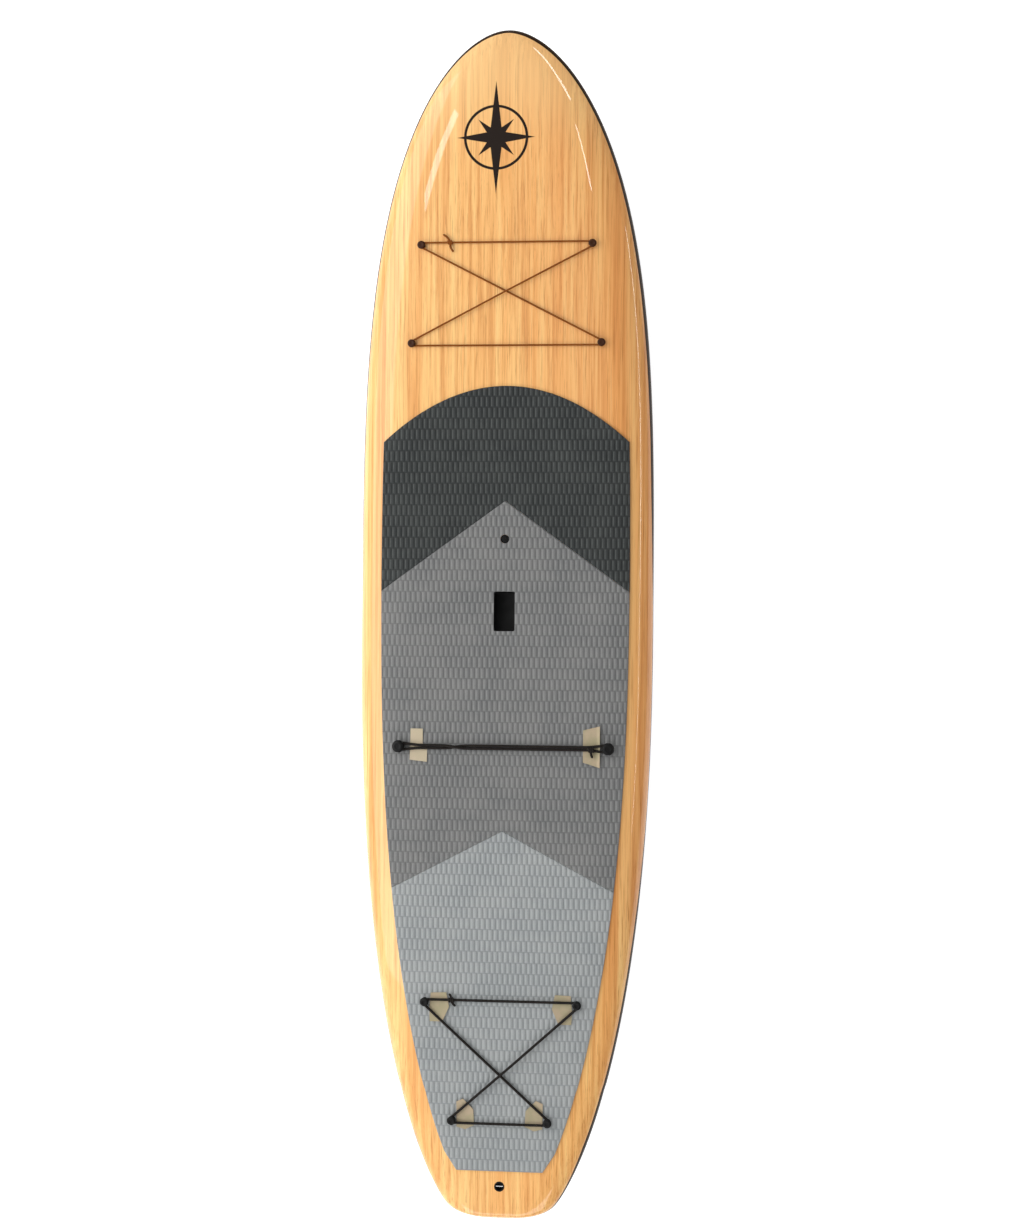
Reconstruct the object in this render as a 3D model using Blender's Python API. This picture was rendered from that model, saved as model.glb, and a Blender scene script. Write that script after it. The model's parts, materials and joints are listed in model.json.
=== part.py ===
"""Stand up paddleboard, a 10 ft 6 in all-round board with a veneered deck.

The board lies level with its deck up (+Z) and its nose at +Y. The origin is on the flat
of the hull bottom, under the middle of the board. The hull is a foam core in two halves
on a stringer, wrapped by a deck skin and a bottom skin that meet along the rail.
"""

import math

import bmesh
import bpy
from mathutils import Matrix, Vector

GAP = 0.0003  # left between faces that touch
TURN = 2 * math.pi

# Hull
LENGTH = 3.2
WIDTH = 0.796
THICKNESS = 0.115
RAIL_SHARE = 0.42  # height of the widest line of the rail, as a share of the thickness
NOSE_ROCKER = 0.125
TAIL_ROCKER = 0.055
NOSE_LIFT_FROM = 0.1  # the rocker starts here and here
TAIL_LIFT_FROM = -0.3
FRONT_POWER = 3.5  # plan outline: (1 - u ** power) ** root on each side of the middle
FRONT_ROOT = 0.571
BACK_POWER = 2.31
BACK_REACH = 1.667  # where the rear outline would come to a point
TAIL_RADIUS = 0.356  # of the slightly curved tail end
TAIL_CORNER = 12.0  # the higher, the sharper the tail corners
TAIL_EDGE = 0.02
FOIL_POWER = 3.2  # how late the thickness falls off towards the ends
FOIL_REACH_BACK = 1.72
SKIN = 0.005  # veneer, PVC sheet and glass together
SEAM_ANGLE = math.radians(-10)  # deck and bottom skin meet just under the widest line
STATIONS_EACH_WAY = 15
TIP_SHARE = 0.35  # the last station lies this share of a step short of the tip
DECK_ANGLES = (0, 20, 40, 60, 76, 86, 90)
BOTTOM_ANGLES = (-35, -60, -80, -90)
STRINGER = 0.006

# Traction pad
PAD = 0.005
PAD_LIFT = 0.0006  # over the deck skin, whose facets bridge the hollow of the rocker
PAD_MARGIN = 0.062  # to the board's outline, beside the middle
PAD_MARGIN_GROWTH = 0.009  # wider margin for each metre towards the tail
PAD_MARGIN_FROM = 0.1
ARC_APEX = 0.641
ARC_BEND = 1.36  # front edge: y = apex - bend * x ** 2
CHEVRON_APEX = (0.332, -0.554)
CHEVRON_SLOPE = (0.726, 0.528)
PAD_END = -1.462
PAD_CHAMFER_FROM = -1.412
PAD_END_HALF = 0.116

# Handle, vent and leash plug, all on the centre line
HANDLE_Y = 0.035
HANDLE = (0.055, 0.105, 0.055)  # mouth across, mouth along, depth
HANDLE_WALL = 0.003
HANDLE_CORNER = 0.006  # rounding of its upright corners outside
HANDLE_CORNER_INSIDE = 0.004
FINGER_REACH = 0.020  # undercut behind the lip on the left
FINGER_TOP = 0.014
VENT_Y = 0.2295
VENT_RADIUS = 0.0115
VENT_DEPTH = 0.018
LEASH_Y = -1.504
LEASH_RADIUS = 0.0135
LEASH_DEPTH = 0.020
LEASH_WALL = 0.003
LEASH_RIM = 0.0008  # how far the cup stands over the deck
LEASH_PIN_BELOW = 0.005  # from the deck down to the pin's middle
PIN_RADIUS = 0.0020  # of the leash pin and the fin's cross pin
PIN_HOLE = 0.0023

# Bungee buttons: (half spacing, y) of each pair
FRONT_PAIRS = ((0.230, 1.020), (0.2555, 0.756))
REAR_PAIRS = ((0.204, -1.013), (0.128, -1.327))
KNOB_PAIR = (0.281, -0.330)
FRONT_CORD = 0.003  # radius
REAR_CORD = 0.0035
STRAP_CORD = 0.0035
LEG_POINTS = (8, 4, 8, 4)  # along the two legs of the X and the two bars
TURN_POINTS = 5

# Fin and box, in a frame on the hull bottom with +Y along it and +Z into the board
FIN_BOX_Y = -1.27
FIN_BOX = (0.036, 0.275, 0.030)
FIN_FLANGE = 0.004
FIN_FLANGE_PROUD = 0.0008  # so that the flange is flush where the hull curves down to it
FIN_BODY_HALF = 0.012
FIN_BODY_INSET = 0.006  # the body is shorter than the flange at each end
FIN_SLOT = (0.0096, 0.250, 0.024)
FIN_GROOVE = (0.0144, 0.0060, 0.0112)  # across, from this depth, to this depth
FIN_TAB = (0.0088, 0.150, 0.020)
FIN_REACH = 0.205
FIN_CHORD = 0.165

# Packing cards under the cords
CARD = 0.0012
CARD_LIFT = 0.0005

OVER = 0.02  # how far a cutter reaches past the face it cuts

COLOURS = {
    "veneer": (0.80, 0.52, 0.24),
    "bottom": (0.02, 0.018, 0.016),
    "foam": (0.88, 0.88, 0.86),
    "plywood": (0.55, 0.38, 0.22),
    "pad_dark": (0.055, 0.058, 0.057),
    "pad_mid": (0.20, 0.20, 0.20),
    "pad_light": (0.34, 0.35, 0.35),
    "black_plastic": (0.012, 0.012, 0.013),
    "shock_cord": (0.018, 0.015, 0.013),
    "steel": (0.55, 0.56, 0.57),
    "seal": (0.01, 0.01, 0.01),
    "card": (0.52, 0.45, 0.31),
    "fin": (0.015, 0.015, 0.016),
}
METALLIC = {"steel"}
ROUGHNESS = {"veneer": 0.12, "bottom": 0.2, "steel": 0.3, "fin": 0.35}


# ---------------------------------------------------------------- hull shape


def half_width(y):
    if y > 0:
        return WIDTH / 2 * (1 - (y / (LENGTH / 2)) ** FRONT_POWER) ** FRONT_ROOT
    side = WIDTH / 2 * (1 - (-y / BACK_REACH) ** BACK_POWER) ** 0.5
    to_end = y + LENGTH / 2
    if to_end > TAIL_RADIUS:
        return side
    end = math.sqrt(TAIL_RADIUS**2 - (TAIL_RADIUS - to_end) ** 2)
    return (side**-TAIL_CORNER + end**-TAIL_CORNER) ** (-1 / TAIL_CORNER)


def thickness(y):
    if y > 0:
        return THICKNESS * (1 - (y / (LENGTH / 2)) ** FOIL_POWER) ** 0.5
    foil = (1 - (-y / FOIL_REACH_BACK) ** FOIL_POWER) ** 0.5
    rounding = min(1, (y + LENGTH / 2) / TAIL_EDGE)
    return THICKNESS * foil * math.sqrt(1 - (1 - rounding) ** 2)


def rocker(y):
    nose = max(0, (y - NOSE_LIFT_FROM) / (LENGTH / 2 - NOSE_LIFT_FROM))
    tail = max(0, (TAIL_LIFT_FROM - y) / (LENGTH / 2 + TAIL_LIFT_FROM))
    return NOSE_ROCKER * nose**2.6 + TAIL_ROCKER * tail**2.2


def fullness(y):
    """How square the section is: flat deck and tight rails amidships, rounder at the ends."""
    outward = max(0, (abs(y) / (LENGTH / 2) - 0.35) / 0.65)
    return 8 - (5.4 if y > 0 else 3.0) * outward**1.5


def rail_height(y):
    return rocker(y) + RAIL_SHARE * thickness(y)


def deck_height(x, y):
    share = min(1, abs(x) / half_width(y))
    crown = math.sqrt(1 - share ** fullness(y))
    return rail_height(y) + (1 - RAIL_SHARE) * thickness(y) * crown


def section_point(station, angle, inset, side=1):
    """A point of the cross-section at a station, on the hull's face or set in from it."""
    y = station * (1 - inset / (LENGTH / 2))
    half = half_width(station) * (1 - inset / (WIDTH / 2))
    share = 1 - RAIL_SHARE if angle >= 0 else RAIL_SHARE
    reach = share * thickness(station) * (1 - inset / (share * THICKNESS))
    power = fullness(station) * (1 if angle >= 0 else 1.5)
    across = half * max(0, math.cos(angle)) ** (2 / power)
    return Vector((side * across, y, rail_height(y) + reach * math.sin(angle)))


def seam_angle(station, drop):
    """The seam's angle, or one that lies a little lower on the rail."""
    reach = RAIL_SHARE * thickness(station)
    return math.asin(math.sin(SEAM_ANGLE) - drop / reach)


def stations():
    steps = STATIONS_EACH_WAY
    for k in range(-steps, steps + 1):
        turned = k if abs(k) < steps else math.copysign(steps - TIP_SHARE, k)
        yield LENGTH / 2 * math.sin(turned / steps * math.pi / 2)


def arc_angles(station, upper):
    """Angles from the right seam over the deck, or under the bottom, to the centre line."""
    if upper:
        return [seam_angle(station, 0)] + [math.radians(a) for a in DECK_ANGLES]
    return [seam_angle(station, GAP * 1.3)] + [math.radians(a) for a in BOTTOM_ANGLES]


def half_ring(station, upper, inset):
    """Section points from the right seam to the left seam."""
    angles = arc_angles(station, upper)
    right = [section_point(station, a, inset) for a in angles]
    left = [section_point(station, a, inset, -1) for a in reversed(angles[:-1])]
    return right + left


# ---------------------------------------------------------------- mesh helpers


def material(slot):
    found = bpy.data.materials.get(slot)
    if found:
        return found
    made = bpy.data.materials.new(slot)
    made.use_nodes = True
    shader = made.node_tree.nodes["Principled BSDF"]
    shader.inputs["Base Color"].default_value = (*COLOURS[slot], 1)
    shader.inputs["Roughness"].default_value = ROUGHNESS.get(slot, 0.6)
    shader.inputs["Metallic"].default_value = 1.0 if slot in METALLIC else 0.0
    made.diffuse_color = (*COLOURS[slot], 1)
    return made


def add_object(name, mesh, slot, place=None):
    made = bpy.data.objects.new(name, mesh)
    bpy.context.scene.collection.objects.link(made)
    if slot:
        mesh.materials.append(material(slot))
    if place is not None:
        made.matrix_world = place
    return made


def closed_mesh(name, work):
    """A mesh from a bmesh, with its faces turned out and round parts shaded smooth."""
    bmesh.ops.recalc_face_normals(work, faces=work.faces)
    mesh = bpy.data.meshes.new(name)
    work.to_mesh(mesh)
    work.free()
    mesh.shade_smooth()
    mesh.set_sharp_from_angle(angle=math.radians(35))
    return mesh


def box_mesh(name, low, high, bevel=0.0):
    work = bmesh.new()
    bmesh.ops.create_cube(work, size=1)
    size = Vector(high) - Vector(low)
    middle = (Vector(high) + Vector(low)) / 2
    for corner in work.verts:
        corner.co = Vector([c * s + m for c, s, m in zip(corner.co, size, middle)])
    if bevel:
        upright = [e for e in work.edges if abs(e.verts[0].co.z - e.verts[1].co.z) > size.z / 2]
        bmesh.ops.bevel(work, geom=upright, offset=bevel, segments=3, profile=0.5, affect="EDGES")
    return closed_mesh(name, work)


def turned_mesh(name, profile, segments=16):
    """A solid turned about Z from (radius, height) points; the first and last lie on the axis
    or, for a ring, the profile closes on itself."""
    work = bmesh.new()
    on_axis = profile[0][0] == 0
    rings = []
    for radius, height in profile:
        if radius == 0:
            rings.append([work.verts.new((0, 0, height))])
            continue
        ring = []
        for k in range(segments):
            angle = TURN * k / segments
            ring.append(work.verts.new((radius * math.cos(angle), radius * math.sin(angle), height)))
        rings.append(ring)
    pairs = list(zip(rings, rings[1:]))
    if not on_axis:
        pairs.append((rings[-1], rings[0]))
    for low, high in pairs:
        for k in range(segments):
            n = (k + 1) % segments
            corners = [ring[at % len(ring)] for ring, at in ((low, k), (low, n), (high, n), (high, k))]
            work.faces.new(list(dict.fromkeys(corners)))
    return closed_mesh(name, work)


def swept_mesh(name, route, radius, sides=8, closed=True):
    """A round tube along a route of points."""
    work = bmesh.new()
    count = len(route)
    rings = []
    for k, here in enumerate(route):
        before = route[k - 1] if closed or k else here
        after = route[(k + 1) % count] if closed or k < count - 1 else here
        along = (after - before).normalized()
        across = along.cross(Vector((0, 0, 1))).normalized()
        up = across.cross(along)
        ring = []
        for s in range(sides):
            angle = TURN * (s + 0.5) / sides
            ring.append(work.verts.new(here + radius * (across * math.cos(angle) + up * math.sin(angle))))
        rings.append(ring)
    for k in range(count if closed else count - 1):
        low, high = rings[k], rings[(k + 1) % count]
        for s in range(sides):
            n = (s + 1) % sides
            work.faces.new((low[s], low[n], high[n], high[s]))
    if not closed:
        work.faces.new(rings[0])
        work.faces.new(rings[-1])
    return closed_mesh(name, work)


def joined_cutter(name, pieces):
    """One hidden cutter object out of several placed meshes that don't touch."""
    work = bmesh.new()
    for mesh, place in pieces:
        first = len(work.verts)
        work.from_mesh(mesh)
        work.verts.ensure_lookup_table()
        bmesh.ops.transform(work, matrix=place, verts=work.verts[first:])
    cutter = add_object(name, closed_mesh(name, work), None)
    cutter.hide_render = True
    cutter.display_type = "WIRE"
    return cutter


def boolean(target, cutter, operation="DIFFERENCE"):
    step = target.modifiers.new(operation.title() + " " + cutter.name, "BOOLEAN")
    step.operation = operation
    step.solver = "EXACT"
    step.object = cutter
    cutter.hide_render = True
    cutter.display_type = "WIRE"


def deck_frame(x, y):
    """A frame on the deck skin, with +Z square to it."""
    step = 0.004
    here = Vector((x, y, deck_height(x, y)))
    along = Vector((0, 2 * step, deck_height(x, y + step) - deck_height(x, y - step)))
    across = Vector((2 * step, 0, deck_height(x + step, y) - deck_height(x - step, y)))
    up = across.cross(along).normalized()
    right = across.normalized()
    axes = Matrix((right, up.cross(right), up)).transposed()
    return Matrix.Translation(here) @ axes.to_4x4()


# ---------------------------------------------------------------- hull


def skin_faces(work, near, far):
    """Two triangles between neighbouring points of two rings, split the same way on each layer."""
    for k in range(len(near) - 1):
        a, b, c, d = near[k], near[k + 1], far[k + 1], far[k]
        if abs(a.co.x) > abs(b.co.x):
            corners = ((a, b, c), (a, c, d))
        else:
            corners = ((a, b, d), (b, c, d))
        for three in corners:
            work.faces.new(three)


def loft(name, slot, upper):
    """A skin: outer and inner face of the deck or the bottom, closed along the seam."""
    work = bmesh.new()
    faces = []
    for inset in (0, SKIN):
        rings = [[work.verts.new(p) for p in half_ring(s, upper, inset)] for s in stations()]
        faces.append(rings)
        for near, far in zip(rings, rings[1:]):
            skin_faces(work, near, far)
        work.faces.new(rings[0])
        work.faces.new(rings[-1])
    outer, inner = faces
    rims = [[ring[k] for ring in face] for k in (0, -1) for face in (outer, inner)]
    for out, into in ((rims[0], rims[1]), (rims[2], rims[3])):
        for k in range(len(out) - 1):
            work.faces.new((out[k], out[k + 1], into[k + 1], into[k]))
    for end in (0, -1):
        work.faces.new((outer[end][0], outer[end][-1], inner[end][-1], inner[end][0]))
    return add_object(name, closed_mesh(name, work), slot)


def core_mesh(name):
    """The space inside the skins, less a glue gap, as one closed body."""
    work = bmesh.new()
    rings = []
    for station in stations():
        over = half_ring(station, True, SKIN + GAP * 1.3)
        under = half_ring(station, False, SKIN + GAP * 1.3)
        loop = over + under[-2:0:-1]
        rings.append([work.verts.new(p) for p in loop])
    for near, far in zip(rings, rings[1:]):
        skin_faces(work, near + near[:1], far + far[:1])
    work.faces.new(rings[0])
    work.faces.new(rings[-1])
    return closed_mesh(name, work)


def slab(name, low_x, high_x):
    """A tall slab along the whole board, which picks one layer out of the core."""
    reach = LENGTH
    cutter = add_object(name, box_mesh(name, (low_x, -reach, -1), (high_x, reach, 1)), None)
    cutter.hide_render = True
    cutter.display_type = "WIRE"
    return cutter


def build_hull(fittings, fin_pocket):
    deck = loft("deck_shell", "veneer", True)
    bottom = loft("bottom_shell", "bottom", False)
    side = STRINGER / 2 + GAP
    layers = (
        ("foam_core_left", "foam", -1, -side),
        ("foam_core_right", "foam", side, 1),
        ("stringer", "plywood", -STRINGER / 2, STRINGER / 2),
    )
    inside = []
    for name, slot, low_x, high_x in layers:
        layer = add_object(name, core_mesh(name), slot)
        boolean(layer, slab(name + "_slab", low_x, high_x), "INTERSECT")
        inside.append(layer)
    for piece in [deck, *inside]:
        boolean(piece, fittings)
    for piece in [bottom, *inside]:
        boolean(piece, fin_pocket)


# ---------------------------------------------------------------- traction pad


def pad_half_width(y):
    margin = PAD_MARGIN + PAD_MARGIN_GROWTH * max(0, PAD_MARGIN_FROM - y)
    half = half_width(y) - margin
    if y < PAD_CHAMFER_FROM:
        share = (PAD_CHAMFER_FROM - y) / (PAD_CHAMFER_FROM - PAD_END)
        start = half_width(PAD_CHAMFER_FROM) - margin
        return start + (PAD_END_HALF - start) * share
    return half


def pad_edge_front(x):
    return ARC_APEX - ARC_BEND * x * x


def pad_edge_chevron(which):
    return lambda x: CHEVRON_APEX[which] - CHEVRON_SLOPE[which] * abs(x)


def pad_edge_end(x):
    return PAD_END


def pad_point(across, share, front, back):
    """A plan point of the pad; across runs from -1 to 1, share from the front edge to the back."""
    x = across * pad_half_width(front(0))
    for _ in range(12):
        y = front(x) + (back(x) - front(x)) * share
        x = across * pad_half_width(y)
    return x, y


def pad(name, slot, front, back, rows, holes, corner_row=None):
    """A pad piece on the deck, with a butt gap to the next and its fitting holes."""
    columns = 14
    work = bmesh.new()
    shares = [k / rows for k in range(rows + 1)]
    if corner_row:
        shares = sorted(shares[:-1] + [corner_row, 1])
    butt = GAP * 1.5
    layers = []
    for lift in (PAD_LIFT, PAD_LIFT + PAD):
        grid = []
        for share in shares:
            row = []
            for k in range(columns + 1):
                x, y = pad_point(2 * k / columns - 1, share, front, back)
                y -= butt * (1 - 2 * share)
                row.append(work.verts.new((x, y, deck_height(x, y) + lift)))
            grid.append(row)
        layers.append(grid)
        for near, far in zip(grid, grid[1:]):
            for k in range(columns):
                work.faces.new((near[k], near[k + 1], far[k + 1], far[k]))
    under, over = layers
    rims = [(under[0], over[0]), (under[-1], over[-1])]
    rims += [([row[k] for row in under], [row[k] for row in over]) for k in (0, -1)]
    for low, high in rims:
        for k in range(len(low) - 1):
            work.faces.new((low[k], low[k + 1], high[k + 1], high[k]))
    made = add_object(name, closed_mesh(name, work), slot)
    if holes:
        boolean(made, joined_cutter(name + "_holes", holes))


def build_pads(middle_holes, rear_holes):
    first, second = pad_edge_chevron(0), pad_edge_chevron(1)
    chamfer = (CHEVRON_APEX[1] - PAD_CHAMFER_FROM) / (CHEVRON_APEX[1] - PAD_END)
    pad("deck_pad_front", "pad_dark", pad_edge_front, first, 7, [])
    pad("deck_pad_middle", "pad_mid", first, second, 11, middle_holes)
    pad("deck_pad_rear", "pad_light", second, pad_edge_end, 11, rear_holes, chamfer)


# ---------------------------------------------------------------- fittings in the deck


def placed(name, slot, profile, place, segments=12):
    return add_object(name, turned_mesh(name, profile, segments), slot, place)


def socket_profile(radius, bore, depth, top, floor):
    """A blind round socket: outside, rim and inside, from the axis out and back to it."""
    return (
        (0, -depth),
        (radius, -depth),
        (radius, top),
        (bore, top),
        (bore, floor - depth),
        (0, floor - depth),
    )


def button_profile(stem, collar, seat, neck, neck_top, cap, cap_top):
    """A button turned in one piece: stem in the insert, collar, thin neck, domed cap."""
    return (
        (0, -STEM_DEPTH),
        (stem, -STEM_DEPTH),
        (stem, GAP),
        (collar, GAP),
        (collar, seat),
        (neck, seat),
        (neck, neck_top),
        (cap * 0.94, neck_top),
        (cap, neck_top + (cap_top - neck_top) * 0.35),
        (cap * 0.72, neck_top + (cap_top - neck_top) * 0.85),
        (0, cap_top),
    )


# One row for each kind of button: insert radius, collar, seat, neck, neck top, cap, cap top
BUTTONS = {
    "front": (0.0090, 0.0080, 0.0018, 0.0026, 0.0092, 0.0110, 0.0142),
    "rear": (0.0110, 0.0100, 0.0066, 0.0026, 0.0152, 0.0120, 0.0205),
    "strap": (0.0130, 0.0120, 0.0066, 0.0060, 0.0165, 0.0170, 0.0275),
}
INSERT_DEPTH = 0.020
INSERT_FLOOR = 0.003
STEM = 0.0035
STEM_DEPTH = 0.0145
STRAP_SEAT = BUTTONS["strap"][2] + STRAP_CORD + 0.0012  # the strap's middle, over the deck
CORNERS = (("left", -1), ("right", 1))


def button_places():
    """Name stem, kind and deck frame of each of the ten buttons."""
    for kind, pairs in (("front", FRONT_PAIRS), ("rear", REAR_PAIRS)):
        for where, (half, y) in zip(("fore", "aft"), pairs):
            for side, sign in CORNERS:
                yield f"{kind}_{{}}_{where}_{side}", kind, deck_frame(sign * half, y)
    for side, sign in CORNERS:
        yield f"strap_{{}}_{side}", "strap", deck_frame(sign * KNOB_PAIR[0], KNOB_PAIR[1])


def build_buttons():
    for pattern, kind, place in button_places():
        radius, collar, seat, neck, neck_top, cap, cap_top = BUTTONS[kind]
        insert = socket_profile(radius, STEM + GAP, INSERT_DEPTH, -GAP, INSERT_FLOOR)
        placed(pattern.format("insert"), "black_plastic", insert, place)
        word = "knob" if kind == "strap" else "anchor"
        button = button_profile(STEM, collar, seat, neck, neck_top, cap, cap_top)
        placed(pattern.format(word), "black_plastic", button, place)


def build_vent():
    place = deck_frame(0, VENT_Y)
    body = (
        (0.0044, -VENT_DEPTH),
        (VENT_RADIUS, -VENT_DEPTH),
        (VENT_RADIUS, 0.0030),
        (0.0085, 0.0030),
        (0.0085, -0.0010),
        (0.0044, -0.0010),
    )
    seal = (
        (0.0044, -0.0007),
        (0.0074, -0.0007),
        (0.0080, 0.0000),
        (0.0074, 0.0007),
        (0.0044, 0.0007),
    )
    screw = (
        (0, -0.0160),
        (0.0032, -0.0160),
        (0.0040, -0.0150),
        (0.0040, 0.0010),
        (0.0080, 0.0010),
        (0.0080, 0.0038),
        (0.0070, 0.0046),
        (0, 0.0046),
    )
    placed("vent_body", "black_plastic", body, place, 20)
    placed("vent_seal", "seal", seal, place, 20)
    head = placed("vent_screw", "black_plastic", screw, place, 20)
    slot = box_mesh("vent_slot", (-0.009, -0.0009, 0.0030), (0.009, 0.0009, 0.0060))
    boolean(head, joined_cutter("vent_slot_cutter", [(slot, place)]))


def build_leash_plug():
    place = deck_frame(0, LEASH_Y)
    cavity = LEASH_RADIUS - LEASH_WALL
    cup = socket_profile(LEASH_RADIUS, cavity, LEASH_DEPTH, LEASH_RIM, LEASH_WALL)
    body = placed("leash_cup", "black_plastic", cup, place, 24)
    below = Matrix.Translation((0, 0, -LEASH_PIN_BELOW))
    lying = place @ below @ Matrix.Rotation(math.pi / 2, 4, "Y")
    reach = LEASH_RADIUS - 0.001
    hole = turned_mesh("leash_hole", plug_profile(PIN_HOLE, reach, reach), 12)
    boolean(body, joined_cutter("leash_hole_cutter", [(hole, lying)]))
    reach -= GAP
    placed("leash_pin", "steel", plug_profile(PIN_RADIUS, reach, reach), lying, 12)


def handle_boxes(grow, over=0):
    """The handle's mouth and its finger space, grown by a wall or a clearance. over is how
    far the mouth reaches past the deck."""
    across, along, depth = HANDLE
    top = deck_height(0, HANDLE_Y)
    low_y, high_y = HANDLE_Y - along / 2 - grow, HANDLE_Y + along / 2 + grow
    floor = top - depth - grow
    half = across / 2 + grow
    mouth = ((-half, low_y, floor), (half, high_y, top + over))
    finger = ((-half - FINGER_REACH, low_y, floor), (0, high_y, top - FINGER_TOP + grow))
    return mouth, finger


def build_handle():
    mouth, finger = handle_boxes(HANDLE_WALL)
    cup = add_object("handle_cup", box_mesh("handle_cup", *mouth, HANDLE_CORNER), "black_plastic")
    bulge = box_mesh("handle_bulge", *finger, HANDLE_CORNER)
    boolean(cup, joined_cutter("handle_bulge", [(bulge, Matrix())]), "UNION")
    mouth, finger = handle_boxes(0, OVER)
    for name, ends in (("handle_hollow", mouth), ("handle_fingers", finger)):
        hollow = box_mesh(name, *ends, HANDLE_CORNER_INSIDE)
        boolean(cup, joined_cutter(name, [(hollow, Matrix())]))


def fitting_cutters():
    """Everything that the deck skin, the foam and the stringer make room for."""
    pieces = []
    for _, kind, place in button_places():
        reach = BUTTONS[kind][0] + GAP
        pieces.append((turned_mesh("socket", plug_profile(reach, INSERT_DEPTH + GAP), 12), place))
    vent = turned_mesh("vent_room", plug_profile(VENT_RADIUS + GAP, VENT_DEPTH + 0.002), 20)
    pieces.append((vent, deck_frame(0, VENT_Y)))
    leash = turned_mesh("leash_room", plug_profile(LEASH_RADIUS + GAP, LEASH_DEPTH + GAP), 24)
    pieces.append((leash, deck_frame(0, LEASH_Y)))
    mouth, finger = handle_boxes(HANDLE_WALL + GAP, OVER)
    pieces.append((box_mesh("mouth_room", *mouth, HANDLE_CORNER), Matrix()))
    return pieces, finger


def plug_profile(radius, depth, height=OVER):
    return ((0, -depth), (radius, -depth), (radius, height), (0, height))


def pad_holes():
    vent = turned_mesh("vent_hole", plug_profile(VENT_RADIUS + 0.0007, 0.01), 20)
    middle = [(vent, deck_frame(0, VENT_Y))]
    low, high = handle_boxes(0.0008, OVER)[0]
    low = (*low[:2], high[2] - 2 * OVER)
    middle.append((box_mesh("mouth_hole", low, high, HANDLE_CORNER_INSIDE), Matrix()))
    rear = []
    for _, kind, place in button_places():
        if kind == "front":
            continue
        hole = turned_mesh("collar_hole", plug_profile(BUTTONS[kind][1] + 2 * GAP, 0.01), 16)
        (middle if kind == "strap" else rear).append((hole, place))
    return middle, rear


# ---------------------------------------------------------------- cords


def tangent_offsets(start, end, before, after, radius):
    """Where a straight run leaves one neck and meets the next. before and after are 1 where
    the cord goes round that neck anticlockwise, and -1 where it goes round clockwise."""
    way = end - start
    distance = way.length
    along = way / distance
    left = Vector((-along.y, along.x))
    if before == after:
        turned = -before * left
        return start + radius * turned, end + radius * turned
    lean = 2 * radius / distance
    run = math.sqrt(1 - lean * lean)
    turned = lean * along - before * run * left
    return start + radius * turned, end - radius * turned


def laced_plan(necks, radius):
    """A closed lacing in plan round the necks, each given as (centre, 1 or -1). Returns
    (point, number of the leg, share of the leg); on the turn round a neck the share is None."""
    count = len(necks)
    legs = []
    for k in range(count):
        (start, before), (end, after) = necks[k], necks[(k + 1) % count]
        legs.append(tangent_offsets(start, end, before, after, radius))
    route = []
    for k, (leave, meet) in enumerate(legs):
        points = LEG_POINTS[k]
        for step in range(points + 1):
            share = step / points
            route.append((leave.lerp(meet, share), k, share))
        centre, turn = necks[(k + 1) % count]
        first = math.atan2(*(meet - centre).yx)
        last = math.atan2(*(legs[(k + 1) % count][0] - centre).yx)
        sweep = (last - first) * turn % TURN * turn
        for step in range(1, TURN_POINTS):
            angle = first + sweep * step / TURN_POINTS
            point = centre + radius * Vector((math.cos(angle), math.sin(angle)))
            route.append((point, k, None))
    return route


def laced_necks(pairs, seat):
    """Fore left, aft right, aft left, fore right: the bars run fore and aft of the X. Each
    neck is met at the cord's height, because the buttons stand square to the curved deck."""
    (fore, fore_y), (aft, aft_y) = pairs
    corners = ((-fore, fore_y, 1), (aft, aft_y, -1), (-aft, aft_y, -1), (fore, fore_y, 1))
    return [((deck_frame(x, y) @ Vector((0, 0, seat))).to_2d(), turn) for x, y, turn in corners]


def laced_route(pairs, cord, neck, seat, low, rise):
    """The cord's centre line. It leaves each neck at seat over the deck. On the X one leg
    passes low over the surface at the crossing and the other rises over it."""
    radius = neck + cord + GAP
    middle = {0: low, 2: low + rise}
    route = []
    for point, leg, share in laced_plan(laced_necks(pairs, seat), radius):
        over = seat
        if share is not None and leg in middle:
            peak = 1 - abs(2 * share - 1)
            over = seat + (middle[leg] - seat) * min(1, peak * 1.08)
        elif share is not None:
            over = seat + (low - seat) * min(1, 4 * share * (1 - share))
        route.append(Vector((point.x, point.y, deck_height(point.x, point.y) + over)))
    return route


def knot(name, centre, cord, tails):
    """A lump where the cord is tied, with its cut ends."""
    work = bmesh.new()
    bmesh.ops.create_icosphere(work, subdivisions=2, radius=1)
    bmesh.ops.scale(work, vec=Vector((2.3, 2.0, 1.55)) * cord, verts=work.verts)
    pieces = [joined_cutter(name + "_lump", [(closed_mesh(name, work), Matrix.Translation(centre))])]
    for number, reach in enumerate(tails):
        end = centre + Vector(reach)
        points = [centre.lerp(end, share) for share in (0, 0.5, 1)]
        tail = swept_mesh(name, points, cord * 0.93, 8, False)
        pieces.append(joined_cutter(f"{name}_tail_{number}", [(tail, Matrix())]))
    return pieces


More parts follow.
